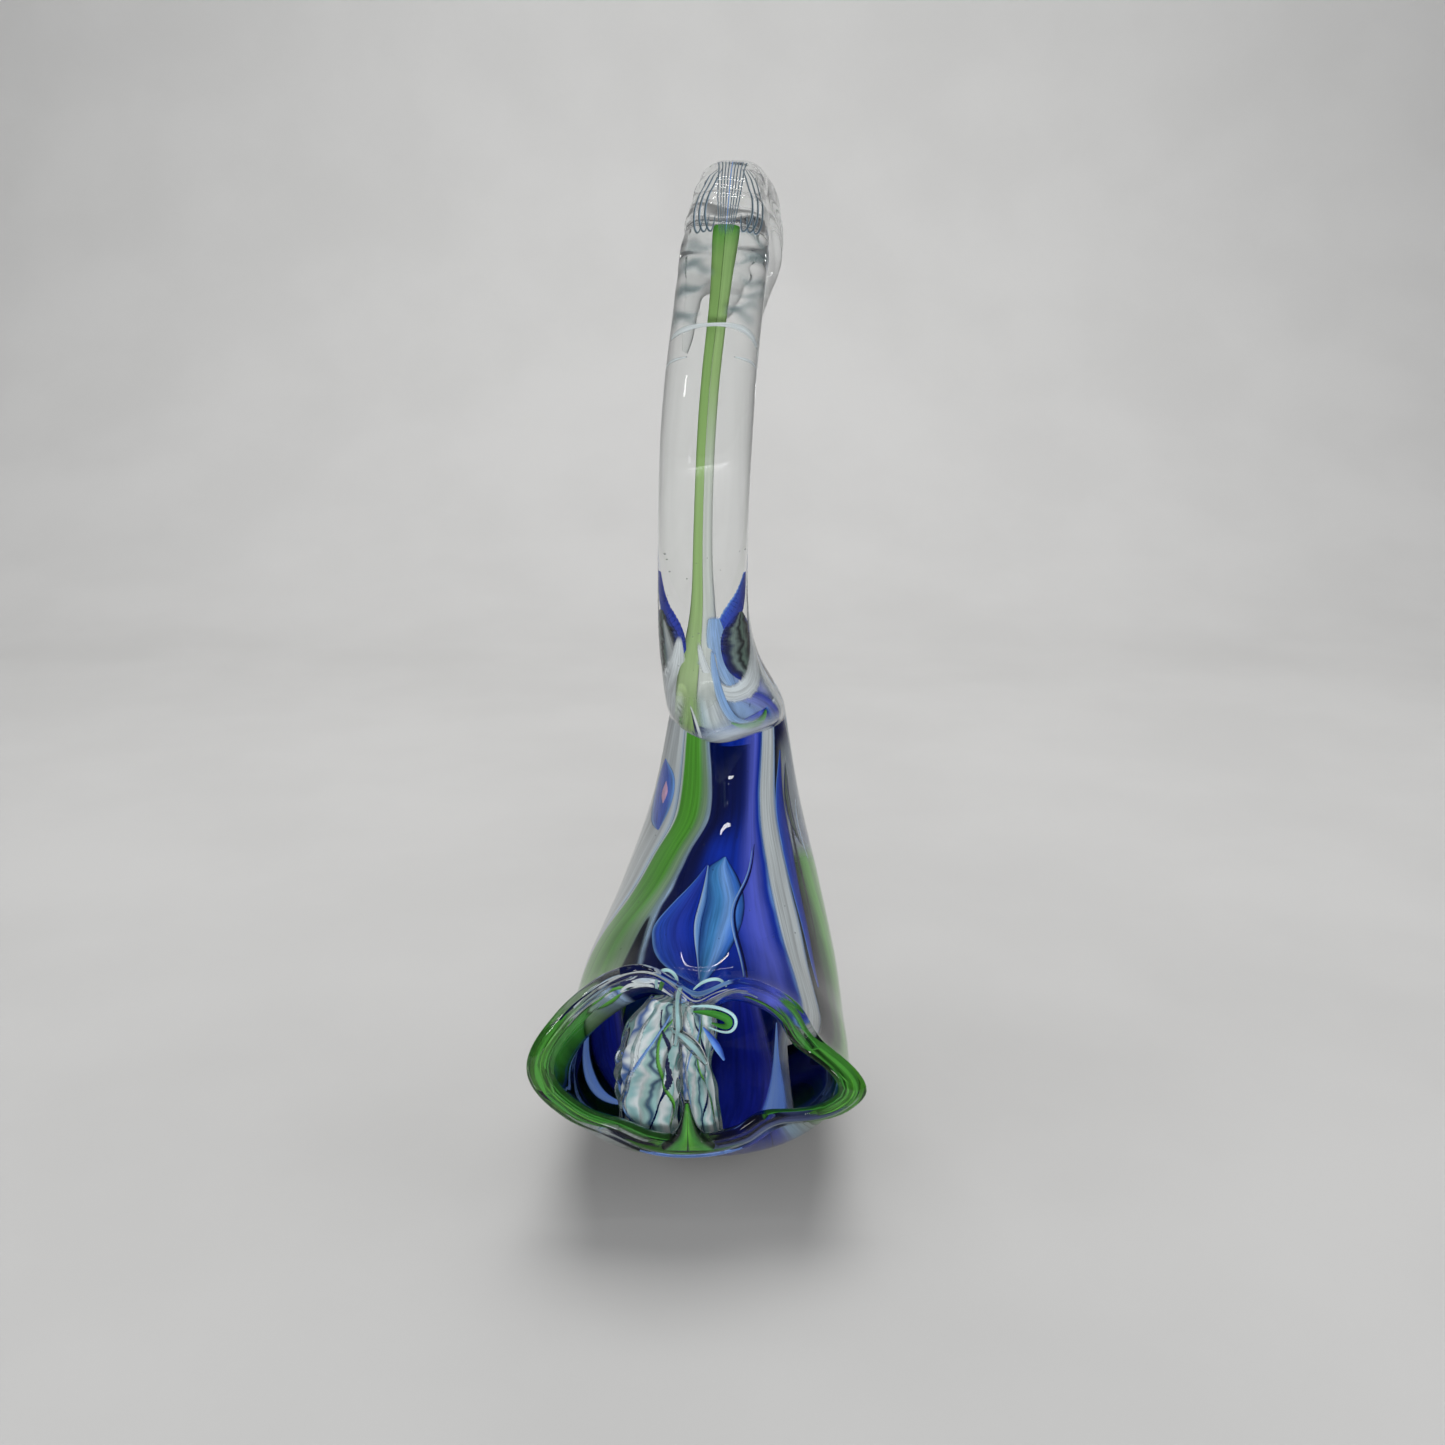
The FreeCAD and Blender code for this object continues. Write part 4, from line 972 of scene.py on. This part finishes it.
def strand(name, path, material):
    """Flattened strand of glass through places (x, y, z, half width)."""
    around, along, flatness, thinnest = 24, 80, 0.6, 0.05
    rows = spline_rows(np.array(path, float)[:, None, :], along)[:, 0]
    middle, radius = rows[:, :3], np.maximum(rows[:, 3], thinnest)
    ahead = np.gradient(middle, axis=0)
    ahead /= np.linalg.norm(ahead, axis=1, keepdims=True)
    side = np.cross(ahead, (0, 1, 0))
    side /= np.linalg.norm(side, axis=1, keepdims=True)
    front = np.cross(side, ahead)
    angle = np.linspace(0, 2 * math.pi, around, endpoint=False)[None, :, None]
    rings = middle[:, None] + radius[:, None, None] * (
        np.cos(angle) * side[:, None] + flatness * np.sin(angle) * front[:, None])
    return tube_piece(name, rings, material, [])


# (name, glass, slot, path)
PINCH_STRANDS = [
    ("pinch_flap", CLEAR, IN_CLEAR, [(-12.5, -45.4, 51.5, 0.5), (-9.5, -47, 50, 1.3),
     (-6.4, -47, 46.6, 1.5), (-4, -46, 42, 0.5)]),
    # The flap's core is partly pale glass and partly a painted highlight: the bright white streak
    # along the flap.
    ("pinch_flap_white_highlight", ICE_STRAND, IN_WHITE, [(-12, -45.4, 51.2, 0.2), (-9.5, -47, 49.9, 0.55),
     (-6.4, -47, 46.6, 0.6), (-4.2, -46, 42.4, 0.2)]),
    ("pinch_stem", CLEAR, IN_CLEAR, [(-10.4, -43.6, 62, 0.8), (-10.8, -46, 57, 1.1),
     (-10.6, -46.6, 52, 1.2), (-11.4, -46, 47, 0.5)]),
    ("pinch_stem_core", ICE_STRAND, IN_WHITE, [(-10.4, -43.8, 61, 0.4), (-10.8, -46, 57, 0.45),
     (-10.6, -46.6, 52, 0.5), (-11.4, -46, 47.6, 0.2)]),
    ("pinch_loop_green", GREEN_STRAND, IN_GREEN, [(-7, -46.2, 56, 0.2), (-3, -47, 56, 0.8),
     (1, -46.8, 54.4, 1), (0.8, -46.6, 52.4, 0.8), (-2.6, -46.4, 53.2, 0.2)]),
    ("pinch_loop_white", ICE_STRAND, IN_WHITE, [(-7.4, -46.4, 57.4, 0.15), (-2.4, -47.2, 57.8, 0.4),
     (2.8, -46.8, 55, 0.4), (1.8, -46.6, 51, 0.35), (-3.2, -46.4, 52, 0.15)]),
    ("pinch_blue_tail", BLUE_STRAND, IN_BLUE, [(-4.6, -46.4, 52, 0.2), (-1.6, -46.6, 47.5, 0.9),
     (0.4, -45.6, 43, 0.3)]),
    ("curl_left", ICE_STRAND, IN_WHITE, [(-15, -42.4, 60.5, 0.2), (-15.6, -41.8, 63, 0.4),
     (-13.6, -41, 64.4, 0.45), (-11.2, -41.4, 62.8, 0.4), (-11, -42.2, 60, 0.2)]),
    ("curl_left_green", GREEN_STRAND, IN_GREEN, [(-14.2, -42.2, 60.5, 0.2),
     (-14.2, -41.8, 62.2, 0.6), (-12.8, -41.6, 62.8, 0.5), (-12, -42.2, 61, 0.2)]),
    ("curl_right", ICE_STRAND, IN_WHITE, [(-7, -42.6, 60, 0.2), (-4.4, -42, 61.8, 0.4),
     (-1, -41.6, 62.2, 0.4), (1, -42.2, 60.6, 0.2)])]


def pinch_strands():
    """Threads and flaps of glass that run together where the upper lip is pinched."""
    for name, material, slot, path in PINCH_STRANDS:
        strand(name, path, material)


def crumpled_fold(name, stations, turns, phase):
    """Clear fold of the upper lip, crumpled into ridges that run down it, with frosted
    glass and four coloured lines inside."""
    around, along, line_columns, cut_short = 180, 220, 7, 12
    frost_share, line_shares = 0.8, (0.9, 0.87)     # of the way out from the middle
    angle = np.linspace(0, 2 * math.pi, around, endpoint=False)
    table = np.array(stations, float)
    down = np.linspace(0, 1, along)
    at = np.linspace(0, 1, len(table))
    x, y, z, width, depth = (smooth(list(zip(at, table[:, k])), down) for k in range(5))
    # Each term is a size, then a wave that runs round the fold, down it, or both
    sway = 2.2 * np.sin(4 * down + phase)[:, None]
    ridge = 1 + 0.12 * np.cos(turns * angle + phase + sway)
    ridge += 0.06 * np.cos((turns + 4) * angle - 5 * down[:, None] + 2 * phase)
    ridge += 0.07 * np.sin(15 * down[:, None] + 3 * np.sin(2 * angle + phase))
    ridge += 0.03 * np.sin(31 * down[:, None] + 4 * np.sin(3 * angle - phase))
    rings = np.stack([x[:, None] + width[:, None] * ridge * np.sin(angle),
                      y[:, None] + depth[:, None] * ridge * np.cos(angle),
                      np.repeat(z[:, None], around, 1)], -1)
    tube_piece(name, rings, CLEAR, [name], JOINT)
    middle = rings.mean(1, keepdims=True)
    tube_piece(name + "_frost", middle + (rings - middle) * frost_share, FROST, [])
    for k, (material, start, drift) in enumerate((
            (GREEN_RIBBON, 0.42, 0.06), (SKY_RIBBON, 0.56, -0.08), (DARK_LINE, 0.48, 0.1),
            (MILK_RIBBON, 0.63, 0.05))):
        column = (start + drift * np.sin(5 * down + k)) * around
        width_here = 1.6 * np.sin(math.pi * down) + 0.4
        column = column[:, None] + width_here[:, None] * np.linspace(-1, 1, line_columns)
        row = np.repeat(np.arange(along)[:, None], line_columns, 1)
        line = rings[row, np.round(column).astype(int) % around]
        outer, inner = (middle + (line - middle) * share for share in line_shares)
        shell_piece("%s_line_%d" % (name, k), outer[cut_short:-cut_short],
                    inner[cut_short:-cut_short], material, [])


# The peak and the colour in it. Columns as for NECK.
CUSP = [(-8.2, -43.2, 17.5, 0, 9, 2.2, 2.2), (-8.4, -43.8, 22, 0, 3.8, 2, 2),
        (-8.6, -44, 26.5, 0, 1.5, 1.4, 1.4), (-8.7, -43.8, 31, 0, 0.5, 0.5, 0.5)]
CUSP_CORE = [(-8.2, -43.2, 18.2, 0, 6.4, 1.5, 1.5), (-8.4, -43.8, 21.6, 0, 2.4, 1.3, 1.3),
             (-8.6, -44, 26.2, 0, 1, 0.9, 0.9), (-8.7, -43.8, 30.4, 0, 0.3, 0.3, 0.3)]


def lower_lip_cusp():
    """Where the pinch draws the lower lip up into a peak."""
    around, along = 64, 60
    peak, core = (rod_rings(stations, around, along) for stations in (CUSP, CUSP_CORE))
    tube_piece("lower_lip_cusp", peak, CLEAR, ["lower_lip_cusp"], JOINT)
    tube_piece("cusp_green", core, CUSP_GREEN, [])


# ---- Stage, light and camera, in metres

AIM = Vector((0, 0, 0.1))   # where the lamps point
DAY, COOL, WARM = (0.98, 0.98, 1), (0.97, 0.98, 1), (1, 0.99, 0.98)
# (name, place, size, power in watts, colour)
SOFTBOXES = [("back_softbox", (0.0, 0.55, 1.15), (0.9, 0.6), 11.4, WARM),
             ("left_softbox", (-1.1, -0.3, 0.45), (0.9, 0.7), 3.9, COOL),
             ("right_softbox", (1.1, -0.2, 0.45), (0.9, 0.7), 3.6, DAY),
             ("front_softbox", (-0.3, -1.4, 0.45), (1.4, 0.6), 7.6, (1, 0.99, 0.97)),
             ("low_front_softbox", (0.1, -1.1, 0.12), (0.7, 0.2), 10.0, COOL)]
GLINT_POWER = 0.6
GLINTS = [("tube_lamp_1", (0.0, -0.05, 1.5), (0.5, 0.025)),
          ("tube_lamp_2", (0.05, 0.3, 1.5), (0.5, 0.025)),
          ("window", (-0.8, -1.5, 0.5), (0.12, 0.16))]


def paper_sweep():
    """Pale paper that lies under the vase and curves up behind it."""
    near, bend, far, high, width, steps = -1.6, 0.5, 1.1, 2.2, 3.0, 16
    material, tree = new_material("pale_paper")
    grain = noise(tree, add(tree, "TexCoord").outputs["Object"], scale=9.0, detail=5.0)
    tone = ramp(tree, grain, [(0.3, (0.51, 0.51, 0.505)), (0.7, (0.535, 0.535, 0.53))])
    paper = add(tree, "BsdfPrincipled", {"Roughness": 0.9, "Specular IOR Level": 0.1,
                                         "Base Color": tone.outputs["Color"]})
    add(tree, "OutputMaterial", {"Surface": paper.outputs["BSDF"]})
    path = [(near, 0), (far - bend, 0)]
    for k in range(1, steps + 1):
        turn = math.pi / 2 * k / steps
        path.append((far - bend + bend * math.sin(turn), bend - bend * math.cos(turn)))
    path.append((far, high))
    mesh = bpy.data.meshes.new("paper_sweep")
    mesh.from_pydata([(side * width, y, z) for y, z in path for side in (-1, 1)], [],
                     [(2 * k, 2 * k + 1, 2 * k + 3, 2 * k + 2) for k in range(len(path) - 1)])
    mesh.materials.append(material)
    for polygon in mesh.polygons:
        polygon.use_smooth = True
    put("paper_sweep", mesh)


def area_light(name, place, size, power, colour=(1, 1, 1)):
    light = bpy.data.lights.new(name, "AREA")
    light.shape = "RECTANGLE"
    light.size, light.size_y = size
    light.energy = power
    light.color = colour
    lamp = put(name, light)
    lamp.location = place
    lamp.rotation_euler = (AIM - Vector(place)).to_track_quat("-Z", "Y").to_euler()
    return lamp


def lights():
    """Softboxes that light the vase without showing in it, and three lamps that do show."""
    for softbox in SOFTBOXES:
        lamp = area_light(*softbox)
        lamp.visible_glossy = False
        lamp.visible_transmission = False
    for glint in GLINTS:
        area_light(*glint, GLINT_POWER)
    world = bpy.data.worlds.new("studio")
    world.use_nodes = True
    background = world.node_tree.nodes["Background"]
    background.inputs["Color"].default_value = (0.92, 0.93, 0.95, 1)
    background.inputs["Strength"].default_value = 0.12
    bpy.context.scene.world = world


CAMERA_PLACE, CAMERA_DOWN_DEG, CAMERA_LENS = (0, -0.362, 0.212), 15, 36.1


def camera():
    data = bpy.data.cameras.new("camera")
    data.sensor_width = 36
    data.lens = CAMERA_LENS
    data.clip_start = 0.01
    view = put("camera", data)
    view.location = CAMERA_PLACE
    view.rotation_euler = (math.radians(90 - CAMERA_DOWN_DEG), 0, 0)
    bpy.context.scene.camera = view


def render_settings():
    scene = bpy.context.scene
    scene.view_settings.view_transform = "Standard"
    cycles = scene.cycles
    cycles.use_denoising = True
    cycles.max_bounces = 20
    cycles.transmission_bounces = 20
    cycles.transparent_max_bounces = 48
    cycles.glossy_bounces = 8
    cycles.diffuse_bounces = 4
    cycles.caustics_reflective = False
    cycles.caustics_refractive = False


clear_body()
clear_neck_and_head()
coloured_bands()
body_ribbons()
heel_ribbons()
mouth_ribbons()
neck_threads()
crown_streaks()
seed_bubbles()
crumpled_fold("left_pinch_fold", LEFT_FOLD, 8, 0.4)
crumpled_fold("right_pinch_fold", RIGHT_FOLD, 7, 1.9)
pinch_strands()
lower_lip_cusp()
paper_sweep()
lights()
camera()
render_settings()
